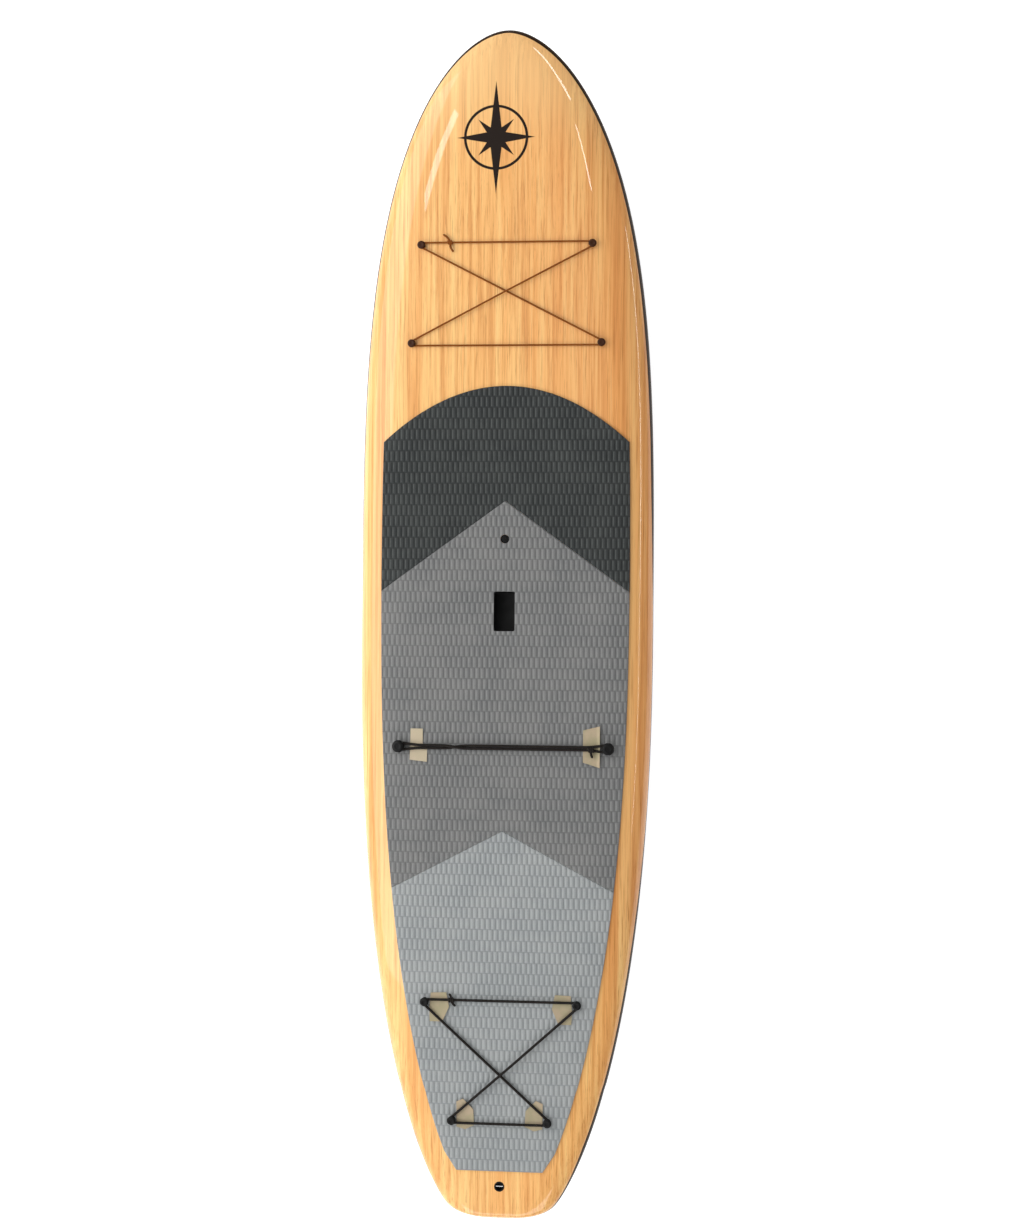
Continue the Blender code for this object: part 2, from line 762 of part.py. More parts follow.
def build_bungees():
    front_seat = BUTTONS["front"][2] + FRONT_CORD + 0.0006
    front_low = FRONT_CORD + 0.0008
    route = laced_route(FRONT_PAIRS, FRONT_CORD, BUTTONS["front"][3], front_seat, front_low, 0.0066)
    front = add_object("front_bungee", swept_mesh("front_bungee", route, FRONT_CORD), "shock_cord")
    y = FRONT_PAIRS[0][1] + BUTTONS["front"][3] + FRONT_CORD + GAP
    centre = Vector((-0.153, y, deck_height(-0.153, y) + front_low + 0.0012))
    tails = ((-0.019, 0.021, 0.002), (0.010, -0.026, 0.002))
    for piece in knot("front_knot", centre, FRONT_CORD, tails):
        boolean(front, piece, "UNION")

    rear_seat = BUTTONS["rear"][2] + REAR_CORD + 0.0010
    route = laced_route(REAR_PAIRS, REAR_CORD, BUTTONS["rear"][3], rear_seat, rear_seat, 0.0076)
    rear = add_object("rear_bungee", swept_mesh("rear_bungee", route, REAR_CORD), "shock_cord")
    y = REAR_PAIRS[0][1] + BUTTONS["rear"][3] + REAR_CORD + GAP
    centre = Vector((-0.132, y, deck_height(-0.132, y) + rear_seat + 0.0012))
    tails = ((-0.006, 0.017, 0.001), (0.012, -0.016, 0.001))
    for piece in knot("rear_knot", centre, REAR_CORD, tails):
        boolean(rear, piece, "UNION")


def strap_route(twist_x, twist_length):
    """Two strands between the knobs, which change sides once by turning round each other."""
    half, y = KNOB_PAIR
    wrap = BUTTONS["strap"][3] + STRAP_CORD + GAP
    beside = STRAP_CORD + GAP
    seat = STRAP_SEAT
    ends = half - wrap * 1.2
    steps = 16
    strands = []
    for sign in (1, -1):
        strand = []
        for k in range(steps + 1):
            x = -ends + 2 * ends * k / steps
            turn = min(1, max(0, (x - twist_x) / twist_length + 0.5))
            turn = turn * turn * (3 - 2 * turn)
            near_knob = max(0, 1 - (ends - abs(x)) / 0.05)
            spread = beside + (wrap * 0.9 - beside) * near_knob**1.5
            lift = seat + 0.0020 * math.sin(math.pi * turn)
            across = sign * spread * math.cos(math.pi * turn)
            up = sign * beside * math.sin(math.pi * turn)
            strand.append(Vector((x, y + across, deck_height(x, y) + lift + up)))
        strands.append(strand)

    def around(x, first, last):
        place = deck_frame(x, y)
        for k in range(9):
            angle = math.radians(first + (last - first) * k / 8)
            yield place @ Vector((wrap * math.cos(angle), wrap * math.sin(angle), seat))

    forth, back = strands
    return forth + list(around(half, -90, 90)) + back[::-1] + list(around(-half, 270, 90))


def build_strap():
    """The strap, with the cut end that sticks out of its knot on the right."""
    route = strap_route(-0.129, 0.10)
    strap = add_object("cross_strap", swept_mesh("cross_strap", route, STRAP_CORD), "shock_cord")
    x, y = 0.237, KNOB_PAIR[1] - STRAP_CORD
    centre = Vector((x, y, deck_height(x, y) + STRAP_SEAT + 0.0022))
    for piece in knot("strap_knot", centre, STRAP_CORD, ((0.004, -0.021, 0.0),)):
        boolean(strap, piece, "UNION")


# ---------------------------------------------------------------- cards


def card(name, outline):
    """A flat card on the pad, from its corners in plan."""
    work = bmesh.new()
    layers = []
    for lift in (0, CARD):
        over = PAD_LIFT + PAD + CARD_LIFT + lift
        layers.append([work.verts.new((x, y, deck_height(x, y) + over)) for x, y in outline])
    low, high = layers
    work.faces.new(low)
    work.faces.new(high)
    for k in range(len(low)):
        n = (k + 1) % len(low)
        work.faces.new((low[k], low[n], high[n], high[k]))
    bmesh.ops.triangulate(work, faces=work.faces)
    add_object(name, closed_mesh(name, work), "card")


# Corners of a rear card from its button, the first figure towards the centre line
FORE_CARD = (
    (0.016, 0.024),
    (0.058, 0.026),
    (0.066, -0.012),
    (0.048, -0.052),
    (0.014, -0.052),
    (0.012, -0.020),
)
AFT_CARD = (
    (0.012, 0.050),
    (0.030, 0.058),
    (0.058, 0.030),
    (0.060, -0.012),
    (0.036, -0.024),
    (0.013, -0.018),
)


def build_cards():
    left = ((-0.250, 0.048), (-0.217, 0.048), (-0.205, -0.041), (-0.252, -0.036))
    right = ((0.215, 0.049), (0.260, 0.060), (0.260, -0.051), (0.215, -0.037))
    for side, corners in (("left", left), ("right", right)):
        card(f"card_strap_{side}", [(x, KNOB_PAIR[1] + dy) for x, dy in corners])
    fore, aft = REAR_PAIRS
    for side, sign in CORNERS:
        for where, (half, row), shape in (("fore", fore, FORE_CARD), ("aft", aft, AFT_CARD)):
            outline = [(sign * (half - dx), row + dy) for dx, dy in shape]
            card(f"card_rear_{where}_{side}", outline)


# ---------------------------------------------------------------- fin and box


def fin_frame():
    """On the hull bottom at the fin box, +Y towards the nose along the hull, +Z into it."""
    half = FIN_BOX[1] / 2
    rear, front = rocker(FIN_BOX_Y - half), rocker(FIN_BOX_Y + half)
    slope = math.atan2(front - rear, 2 * half)
    middle = (front + rear) / 2
    return Matrix.Translation((0, FIN_BOX_Y, middle)) @ Matrix.Rotation(slope, 4, "X")


def build_fin_box(place):
    """A box with a slot for the fin, side grooves for its pin and plate, and a gap half way
    along the slot where these go in."""
    flange = upright_box("fin_box", FIN_BOX, -FIN_FLANGE_PROUD, FIN_FLANGE)
    made = add_object("fin_box", flange, "black_plastic", place)
    body = (2 * FIN_BODY_HALF, FIN_BOX[1] - 2 * FIN_BODY_INSET)
    trough = upright_box("fin_box_body", body, FIN_FLANGE - 0.001, FIN_BOX[2])
    boolean(made, joined_cutter("fin_box_body", [(trough, place)]), "UNION")
    wide, low, high = FIN_GROOVE
    hollows = (
        upright_box("fin_slot", FIN_SLOT, -0.01, FIN_SLOT[2]),
        upright_box("fin_groove", (wide, FIN_SLOT[1] - 0.004), low, high),
        upright_box("fin_entry", (wide, 0.016), -0.01, high - 0.001),
    )
    for hollow in hollows:
        boolean(made, joined_cutter(hollow.name, [(hollow, place)]))


def upright_box(name, size, low, high):
    """A box centred on the Z axis, size across and along, from one height to another."""
    across, along = size[0] / 2, size[1] / 2
    return box_mesh(name, (-across, -along, low), (across, along, high))


def fin_pocket(place):
    """Two cutters for the room that the fin box's flange and body need in the hull."""
    grown = GAP * 1.5
    flange = (FIN_BOX[0] + 2 * grown, FIN_BOX[1] + 2 * grown)
    body = (2 * (FIN_BODY_HALF + grown), flange[1] - 2 * FIN_BODY_INSET)
    upper = upright_box("flange_room", flange, -OVER, FIN_FLANGE + grown)
    lower = upright_box("body_room", body, FIN_FLANGE - 0.002, FIN_BOX[2] + grown)
    return (upper, place), (lower, place)


def fin_outline():
    """The blade seen from the side, root first: (y, z) down a swept-back leading edge, round
    the tip, and back up a hollow trailing edge."""
    front, back = FIN_TAB[1] / 2 + 0.004, FIN_TAB[1] / 2 + 0.004 - FIN_CHORD
    tip = Vector((back - 0.045, -FIN_REACH))
    lead_pull = Vector((front - 0.045, -0.115))
    trail_pull = Vector((back + 0.022, -0.110))
    root_z = -0.0012
    leading = [bezier(Vector((front, root_z)), lead_pull, tip, k / 9) for k in range(10)]
    trailing = [bezier(tip, trail_pull, Vector((back, root_z)), k / 9) for k in range(1, 10)]
    return leading, trailing


def bezier(start, pull, end, share):
    return start.lerp(pull, share).lerp(pull.lerp(end, share), share)


def build_fin(place):
    """A foiled blade on a tab that runs in the slot, with a thin tongue for the screw."""
    leading, trailing = fin_outline()
    lines = list(zip(leading, reversed([leading[-1]] + trailing)))
    foil = ((0, 0), (0.10, 0.62), (0.35, 1.0), (0.70, 0.62), (1, 0.10))
    work = bmesh.new()
    rings = []
    for level, (lead, trail) in enumerate(lines[:-1]):
        thick = 0.0088 / 2 * (1 - 0.62 * level / len(lines))
        side = [(lead.lerp(trail, share), thick * height) for share, height in foil]
        loop = [Vector((t, p.x, p.y)) for p, t in side]
        loop += [Vector((-t, p.x, p.y)) for p, t in reversed(side[1:])]
        rings.append([work.verts.new(p) for p in loop])
    for near, far in zip(rings, rings[1:]):
        for k in range(len(near)):
            n = (k + 1) % len(near)
            work.faces.new((near[k], near[n], far[n], far[k]))
    work.faces.new(rings[0])
    tip = work.verts.new((0, leading[-1].x, leading[-1].y))
    last = rings[-1]
    for k in range(len(last)):
        work.faces.new((last[k], last[(k + 1) % len(last)], tip))
    fin = add_object("centre_fin", closed_mesh("centre_fin", work), "fin", place)

    thick, length, high = FIN_TAB
    half = thick / 2
    tab = box_mesh("fin_tab", (-half, -length / 2, -0.003), (half, length / 2, high))
    boolean(fin, joined_cutter("fin_tab", [(tab, place)]), "UNION")
    tongue = box_mesh("fin_tongue", (-half, length / 2 - 0.01, 0.0005), (half, length / 2 + 0.018, 0.0045))
    boolean(fin, joined_cutter("fin_tongue", [(tongue, place)]), "UNION")
    screw_hole = turned_mesh("screw_hole", plug_profile(0.0024, 0.02), 12)
    boolean(fin, joined_cutter("fin_screw_hole", [(screw_hole, place @ fin_screw_spot())]))
    pin_hole = turned_mesh("pin_hole", plug_profile(PIN_HOLE, 0.01, 0.01), 12)
    boolean(fin, joined_cutter("fin_pin_hole", [(pin_hole, place @ fin_pin_spot())]))


def fin_screw_spot():
    return Matrix.Translation((0, FIN_TAB[1] / 2 + 0.0112, 0))


def fin_pin_spot():
    middle = (FIN_GROOVE[1] + FIN_GROOVE[2]) / 2
    return Matrix.Translation((0, -FIN_TAB[1] / 2 + 0.012, middle)) @ Matrix.Rotation(math.pi / 2, 4, "Y")


def build_fin_hardware(place):
    reach = FIN_GROOVE[0] / 2 - 0.0004
    placed("fin_pin", "steel", plug_profile(PIN_RADIUS, reach, reach), place @ fin_pin_spot(), 12)
    screw = (
        (0, -0.0025),
        (0.0030, -0.0025),
        (0.0042, -0.0016),
        (0.0042, 0.0002),
        (0.0020, 0.0002),
        (0.0020, 0.0160),
        (0, 0.0160),
    )
    turned = placed("fin_screw", "steel", screw, place @ fin_screw_spot(), 12)
    slot = box_mesh("screw_slot", (-0.0050, -0.0006, -0.0040), (0.0050, 0.0006, -0.0012))
    boolean(turned, joined_cutter("fin_screw_slot", [(slot, place @ fin_screw_spot())]))
    half = FIN_GROOVE[0] / 2 - 0.0005
    plate = box_mesh("fin_plate", (-half, -0.0065, 0.0065), (half, 0.0065, 0.0095))
    made = add_object("fin_plate", plate, "steel", place @ fin_screw_spot())
    hole = turned_mesh("plate_hole", plug_profile(0.0020 + GAP, 0.02), 12)
    boolean(made, joined_cutter("fin_plate_hole", [(hole, place @ fin_screw_spot())]))


# ---------------------------------------------------------------- assembly


def main():
    for old in list(bpy.data.objects):
        bpy.data.objects.remove(old, do_unlink=True)

    place = fin_frame()
    rooms, finger = fitting_cutters()
    fittings = joined_cutter("fittings_room", rooms)
    finger_box = box_mesh("finger_room", *finger, HANDLE_CORNER)
    finger_room = joined_cutter("finger_room", [(finger_box, Matrix())])
    boolean(fittings, finger_room, "UNION")
    upper, lower = fin_pocket(place)
    pocket = joined_cutter("fin_flange_room", [upper])
    boolean(pocket, joined_cutter("fin_body_room", [lower]), "UNION")

    build_hull(fittings, pocket)
    build_pads(*pad_holes())
    build_handle()
    build_vent()
    build_leash_plug()
    build_buttons()
    build_bungees()
    build_strap()
    build_cards()
    build_fin_box(place)
    build_fin(place)
    build_fin_hardware(place)


main()
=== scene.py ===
import json
import math

import bmesh
import bpy
import numpy as np
from mathutils import Matrix, Vector
from mathutils.geometry import delaunay_2d_cdt


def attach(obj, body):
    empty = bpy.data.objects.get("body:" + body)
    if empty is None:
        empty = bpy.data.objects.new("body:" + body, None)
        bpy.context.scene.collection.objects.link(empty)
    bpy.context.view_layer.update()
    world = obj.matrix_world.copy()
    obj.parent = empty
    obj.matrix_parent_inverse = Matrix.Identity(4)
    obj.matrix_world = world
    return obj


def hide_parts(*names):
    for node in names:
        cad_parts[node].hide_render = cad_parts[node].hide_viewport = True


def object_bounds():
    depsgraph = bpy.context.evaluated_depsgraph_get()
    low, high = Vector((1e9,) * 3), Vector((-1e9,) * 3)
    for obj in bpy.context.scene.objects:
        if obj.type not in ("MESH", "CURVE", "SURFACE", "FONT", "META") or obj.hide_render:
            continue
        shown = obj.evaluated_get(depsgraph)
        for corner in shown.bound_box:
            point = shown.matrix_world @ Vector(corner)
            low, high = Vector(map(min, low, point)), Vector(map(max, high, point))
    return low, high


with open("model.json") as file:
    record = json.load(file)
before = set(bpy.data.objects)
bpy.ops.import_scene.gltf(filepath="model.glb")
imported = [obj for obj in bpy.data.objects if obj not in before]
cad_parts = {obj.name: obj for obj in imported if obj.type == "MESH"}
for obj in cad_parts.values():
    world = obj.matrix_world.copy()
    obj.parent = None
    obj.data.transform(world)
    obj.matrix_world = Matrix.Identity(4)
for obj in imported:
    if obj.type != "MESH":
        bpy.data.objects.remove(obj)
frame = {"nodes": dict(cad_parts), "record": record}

CAD_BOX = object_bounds()
TURN = 2 * math.pi
SAME_POINT = 2e-6  # points closer than this are one
ABOVE = 0.02  # how far a cutter goes past the face that it opens

# ---- the CAD's own dimensions

GAP = 0.0003
LENGTH, WIDTH, THICKNESS = 3.2, 0.796, 0.115
RAIL_SHARE = 0.42
# the power of the rails' curve in the middle, what it loses at the nose and the tail, and from where
FULLNESS, FULLNESS_LOST, FULLNESS_FROM = 8, (5.4, 3.0), 0.35
NOSE_ROCKER, TAIL_ROCKER = 0.125, 0.055
NOSE_LIFT_FROM, TAIL_LIFT_FROM = 0.1, -0.3
NOSE_LIFT_POWER, TAIL_LIFT_POWER = 2.6, 2.2
FRONT_POWER, FRONT_ROOT = 3.5, 0.571
BACK_POWER, BACK_REACH = 2.31, 1.667
TAIL_RADIUS, TAIL_CORNER, TAIL_EDGE = 0.356, 12.0, 0.02
FOIL_POWER, FOIL_REACH_BACK = 3.2, 1.72
SKIN = 0.005
SEAM_ANGLE = math.radians(-10)

PAD, PAD_LIFT = 0.005, 0.0006
PAD_MARGIN, PAD_MARGIN_GROWTH, PAD_MARGIN_FROM = 0.062, 0.009, 0.1
ARC_APEX, ARC_BEND = 0.641, 1.36
CHEVRON_APEX = (0.332, -0.554)
CHEVRON_SLOPE = (0.726, 0.528)
PAD_END, PAD_CHAMFER_FROM, PAD_END_HALF = -1.462, -1.412, 0.116

HANDLE_Y = 0.035
HANDLE = (0.055, 0.105, 0.055)
HANDLE_WALL, HANDLE_CORNER = 0.003, 0.006
FINGER_REACH, FINGER_TOP = 0.020, 0.014
VENT_Y, VENT_RADIUS, VENT_DEPTH = 0.2295, 0.0115, 0.018
LEASH_Y, LEASH_RADIUS, LEASH_DEPTH = -1.504, 0.0135, 0.020
LEASH_WALL, LEASH_PIN_BELOW = 0.003, 0.005
PIN_RADIUS, PIN_HOLE = 0.0020, 0.0023

FRONT_PAIRS = ((0.230, 1.020), (0.2555, 0.756))
REAR_PAIRS = ((0.204, -1.013), (0.128, -1.327))
KNOB_PAIR = (0.281, -0.330)
FRONT_CORD, REAR_CORD, STRAP_CORD = 0.003, 0.0035, 0.0035
FRONT_DRAWN = 0.8  # the front cord looks thinner than it is
# insert radius, collar, seat, neck, neck top, cap, cap top
BUTTONS = {
    "front": (0.0090, 0.0092, 0.0018, 0.0026, 0.0092, 0.0110, 0.0142),
    "rear": (0.0110, 0.0100, 0.0066, 0.0026, 0.0152, 0.0120, 0.0205),
    "strap": (0.0130, 0.0120, 0.0066, 0.0060, 0.0165, 0.0170, 0.0275),
}
STEM, STEM_DEPTH, INSERT_DEPTH = 0.0035, 0.0145, 0.0205
FLUTES = 8  # round each strap knob

FIN_BOX_Y = -1.27
FIN_BOX = (0.036, 0.275, 0.030)
FIN_FLANGE, FIN_FLANGE_PROUD = 0.004, 0.0008
FIN_BODY_HALF, FIN_BODY_INSET = 0.012, 0.006
FIN_SLOT = (0.0096, 0.250, 0.024)
FIN_GROOVE = (0.0144, 0.0060, 0.0112)
FIN_TAB = (0.0088, 0.150, 0.020)
FIN_REACH, FIN_CHORD, FIN_THICK = 0.205, 0.165, 0.0088

# ---- the pads' emboss

BRICK, ROW = 0.0140, 0.0292  # the pitch of the embossed ribs across, and the length of a row
GROOVE = (0.0006, 0.0021)  # half widths of the groove between two ribs, at its floor and its lips
GROOVE_DEPTH = 0.0015
DIP = (0.0008, 0.0030)  # the same for the shallow dip between two rows
DIP_DEPTH = 0.0006
CROWN = 0.0004  # how much higher a rib's middle is than its lips
RIM = 0.0022  # width and height of the slope round each pad
RIBS = 24  # on each side of the middle
UNDER = 41  # points across a pad's underside


# ---- hull formulas


def half_width(y):
    y = np.asarray(y, float)
    front = WIDTH / 2 * (1 - (np.clip(y, 0, None) / (LENGTH / 2)) ** FRONT_POWER) ** FRONT_ROOT
    side = WIDTH / 2 * (1 - (np.clip(-y, 0, None) / BACK_REACH) ** BACK_POWER) ** 0.5
    to_end = np.clip(y + LENGTH / 2, 1e-7, TAIL_RADIUS)
    end = np.sqrt(TAIL_RADIUS**2 - (TAIL_RADIUS - to_end) ** 2)
    tail = (side**-TAIL_CORNER + end**-TAIL_CORNER) ** (-1 / TAIL_CORNER)
    back = np.where(y + LENGTH / 2 > TAIL_RADIUS, side, tail)
    return np.where(y > 0, front, back)


def thickness(y):
    y = np.asarray(y, float)
    front = (1 - (np.clip(y, 0, None) / (LENGTH / 2)) ** FOIL_POWER) ** 0.5
    back = (1 - (np.clip(-y, 0, None) / FOIL_REACH_BACK) ** FOIL_POWER) ** 0.5
    rounding = np.clip((y + LENGTH / 2) / TAIL_EDGE, 0, 1)
    return THICKNESS * np.where(y > 0, front, back * np.sqrt(1 - (1 - rounding) ** 2))


def rocker(y):
    y = np.asarray(y, float)
    nose = np.clip((y - NOSE_LIFT_FROM) / (LENGTH / 2 - NOSE_LIFT_FROM), 0, None)
    tail = np.clip((TAIL_LIFT_FROM - y) / (LENGTH / 2 + TAIL_LIFT_FROM), 0, None)
    return NOSE_ROCKER * nose**NOSE_LIFT_POWER + TAIL_ROCKER * tail**TAIL_LIFT_POWER


def fullness(y):
    y = np.asarray(y, float)
    outward = np.clip((np.abs(y) / (LENGTH / 2) - FULLNESS_FROM) / (1 - FULLNESS_FROM), 0, None)
    return FULLNESS - np.where(y > 0, *FULLNESS_LOST) * outward**1.5


def rail_height(y):
    return rocker(y) + RAIL_SHARE * thickness(y)


def deck_height(x, y):
    share = np.clip(np.abs(x) / half_width(y), 0, 1)
    crown = np.sqrt(1 - share ** fullness(y))
    return rail_height(y) + (1 - RAIL_SHARE) * thickness(y) * crown


def deck_frame(x, y):
    """A frame on the deck, +Z square to it, as the CAD has it."""
    step = 0.004
    here = Vector((x, y, float(deck_height(x, y))))
    along = Vector((0, 2 * step, float(deck_height(x, y + step) - deck_height(x, y - step))))
    across = Vector((2 * step, 0, float(deck_height(x + step, y) - deck_height(x - step, y))))
    up = across.cross(along).normalized()
    right = across.normalized()
    axes = Matrix((right, up.cross(right), up)).transposed()
    return Matrix.Translation(here) @ axes.to_4x4()


def fin_frame():
    half = FIN_BOX[1] / 2
    rear, front = float(rocker(FIN_BOX_Y - half)), float(rocker(FIN_BOX_Y + half))
    slope = math.atan2(front - rear, 2 * half)
    return Matrix.Translation((0, FIN_BOX_Y, (front + rear) / 2)) @ Matrix.Rotation(slope, 4, "X")


# ---- material helpers


def srgb(*levels):
    """A linear colour from 0 to 255 levels."""
    made = []
    for level in levels:
        c = level / 255
        made.append(c / 12.92 if c <= 0.04045 else ((c + 0.055) / 1.055) ** 2.4)
    return made


class Nodes:
    """Short calls that add nodes to a tree."""

    def __init__(self, tree):
        self.tree = tree

    def link(self, value, socket):
        """Links a node's output to a socket, or sets the socket to a constant."""
        if isinstance(value, bpy.types.NodeSocket):
            self.tree.links.new(value, socket)
        elif isinstance(value, (list, tuple)) and len(value) == 3 and len(socket.default_value) == 4:
            socket.default_value = (*value, 1)
        else:
            socket.default_value = value

    def new(self, kind, output, inputs, **settings):
        """Adds a node and gives one of its outputs."""
        node = self.tree.nodes.new("ShaderNode" + kind)
        for key, value in settings.items():
            setattr(node, key, value)
        for key, value in inputs.items():
            self.link(value, node.inputs[key])
        return node.outputs[output]

    def fade(self, value, low, high, out_low=0.0, out_high=1.0):
        """Value from low to high, smoothly brought to out_low to out_high."""
        ends = {"From Min": low, "From Max": high, "To Min": out_low, "To Max": out_high}
        return self.new("MapRange", "Result", {"Value": value, **ends}, interpolation_type="SMOOTHSTEP")

    def axes(self, vector):
        """The X, Y and Z of a vector."""
        x = self.new("SeparateXYZ", "X", {"Vector": vector})
        return [x.node.outputs[name] for name in "XYZ"]


class Paint(Nodes):
    """A node material. Inputs of its shader are named with _ for a space."""

    def __init__(self, name, **inputs):
        self.mat = bpy.data.materials.new(name)
        self.mat.use_nodes = True
        super().__init__(self.mat.node_tree)
        self.set(**inputs)

    def set(self, **inputs):
        shader = self.tree.nodes["Principled BSDF"]
        for key, value in inputs.items():
            self.link(value, shader.inputs[key.replace("_", " ")])

    def coords(self, scale=(1, 1, 1)):
        place = self.new("TexCoord", "Object", {})
        return self.new("Mapping", "Vector", {"Vector": place, "Scale": scale})

    def noise(self, vector, scale, detail, rough=0.55):
        inputs = {"Vector": vector, "Scale": scale, "Detail": detail, "Roughness": rough}
        return self.new("TexNoise", "Fac", inputs)

    def cells(self, scale):
        return self.new("TexVoronoi", "Distance", {"Vector": self.coords(), "Scale": scale})

    def attribute(self, name):
        return self.new("Attribute", "Fac", {}, attribute_name=name)

    def math(self, operation, a, b=0.0):
        return self.new("Math", 0, {0: a, 1: b}, operation=operation)

    def times(self, a, b):
        return self.math("MULTIPLY", a, b)

    def plus(self, a, b):
        return self.math("ADD", a, b)

    def minus(self, a, b):
        return self.math("SUBTRACT", a, b)

    def size(self, a):
        return self.math("ABSOLUTE", a)

    def mix(self, share, a, b, blend="MIX"):
        return self.new("Mix", 2, {"Factor": share, 6: a, 7: b}, data_type="RGBA", blend_type=blend)

    def bump(self, height, strength, distance):
        inputs = {"Strength": strength, "Distance": distance, "Height": height}
        normal = self.new("Bump", "Normal", inputs)
        self.set(Normal=normal)
        return normal


STAR_AT = (-0.030, 1.305)
STAR_RING = 0.083  # radius of the ring round the star
DECK_ONLY = (0.10, 0.11)  # the star shows above these heights, so it isn't on the rail below


def star_mask(p, x, y):
    """An eight-pointed compass star in a ring, centred at 0, 0."""
    def away(value, reach):
        return p.math("DIVIDE", p.size(value), reach)

    lean_a = p.times(p.plus(x, y), 0.5**0.5)
    lean_b = p.times(p.minus(x, y), 0.5**0.5)
    rays = (
        (x, 0.018, y, 0.150), (y, 0.018, x, 0.105),
        (lean_a, 0.014, lean_b, 0.068), (lean_b, 0.014, lean_a, 0.068),
    )
    star = 0.0
    for across, thin, along, long in rays:
        share = p.plus(away(across, thin), away(along, long))
        star = p.math("MAXIMUM", star, p.fade(share, 1.03, 0.97))
    radius = p.math("SQRT", p.plus(p.times(x, x), p.times(y, y)))
    ring = p.fade(p.size(p.minus(radius, STAR_RING)), 0.0040, 0.0032)
    return p.math("MAXIMUM", star, ring)


def veneer_paint():
    """Clear-coated straight-grained veneer, with a dark line at the nose's edge and a star."""
    p = Paint("veneer_coated", Specular_IOR_Level=0.05, Coat_Roughness=0.02)
    x, y, z = p.axes(p.coords())
    wander = p.noise(p.coords((2.2, 1.1, 2.2)), 1.0, 2.0)
    shift = p.times(p.minus(wander, 0.5), 0.012)
    stretched = {"X": p.plus(x, shift), "Y": p.times(y, 0.010)}
    along = p.new("CombineXYZ", "Vector", {**stretched, "Z": p.times(z, 0.5)})
    broad = p.noise(along, 19.0, 2.0, 0.5)
    streak = p.noise(along, 75.0, 3.0, 0.65)
    fine = p.noise(along, 330.0, 3.0, 0.7)
    pores = p.noise(p.coords((1.0, 0.014, 1.0)), 700.0, 2.0, 0.6)
    base = p.mix(p.fade(broad, 0.3, 0.7), srgb(247, 182, 108), srgb(255, 204, 130))
    base = p.mix(p.fade(streak, 0.44, 0.66, 0, 0.80), base, srgb(225, 155, 86))
    base = p.mix(p.fade(streak, 0.50, 0.25, 0, 0.55), base, srgb(255, 218, 146))
    base = p.mix(p.fade(fine, 0.5, 0.70, 0, 0.60), base, srgb(186, 116, 54))
    base = p.mix(p.fade(pores, 0.58, 0.75, 0, 0.30), base, srgb(150, 92, 44))
    # painted shade: the veneer darker and warmer towards the right, the side away from the light, with less
    # of it towards the tail
    warmer = p.times(p.fade(x, -0.06, 0.26, 0, 0.85), p.fade(y, -1.10, -0.6, 0.05, 1.0))
    base = p.mix(warmer, base, (0.90, 0.78, 0.74), "MULTIPLY")
    # painted highlight: the veneer lighter towards the nose's tip
    base = p.mix(p.fade(y, 1.22, 1.50, 0, 0.40), base, srgb(255, 216, 152))
    star = star_mask(p, p.minus(x, STAR_AT[0]), p.minus(y, STAR_AT[1]))
    star = p.times(star, p.fade(z, *DECK_ONLY))
    base = p.mix(star, base, srgb(26, 12, 3))
    # the dark rail line: a dark band at the edge, painted wider on the right as shade
    edge = p.fade(p.attribute("inside"), 0.0004, -0.0004)
    bare = p.math("MAXIMUM", p.times(edge, 0.9), p.times(star, 0.5))
    p.set(
        Base_Color=p.mix(edge, base, srgb(46, 28, 13)),
        Coat_Weight=p.minus(1.0, bare),
        Roughness=p.fade(fine, 0.3, 0.7, 0.28, 0.42),
    )
    p.set(Coat_Normal=p.bump(p.noise(p.coords((1, 0.4, 1)), 14.0, 1.0), 0.05, 0.002))
    return p.mat


def bottom_paint():
    p = Paint("bottom_gloss", Coat_Weight=1.0)
    haze = p.noise(p.coords((1, 0.3, 1)), 6.0, 4.0)
    scuff = p.noise(p.coords((1, 0.06, 1)), 260.0, 3.0, 0.7)
    p.set(
        Base_Color=p.mix(haze, srgb(18, 17, 16), srgb(34, 32, 30)),
        Roughness=p.fade(scuff, 0.4, 0.8, 0.22, 0.42),
    )
    p.set(Coat_Normal=p.bump(p.noise(p.coords((1, 0.4, 1)), 14.0, 1.0), 0.06, 0.002))
    return p.mat


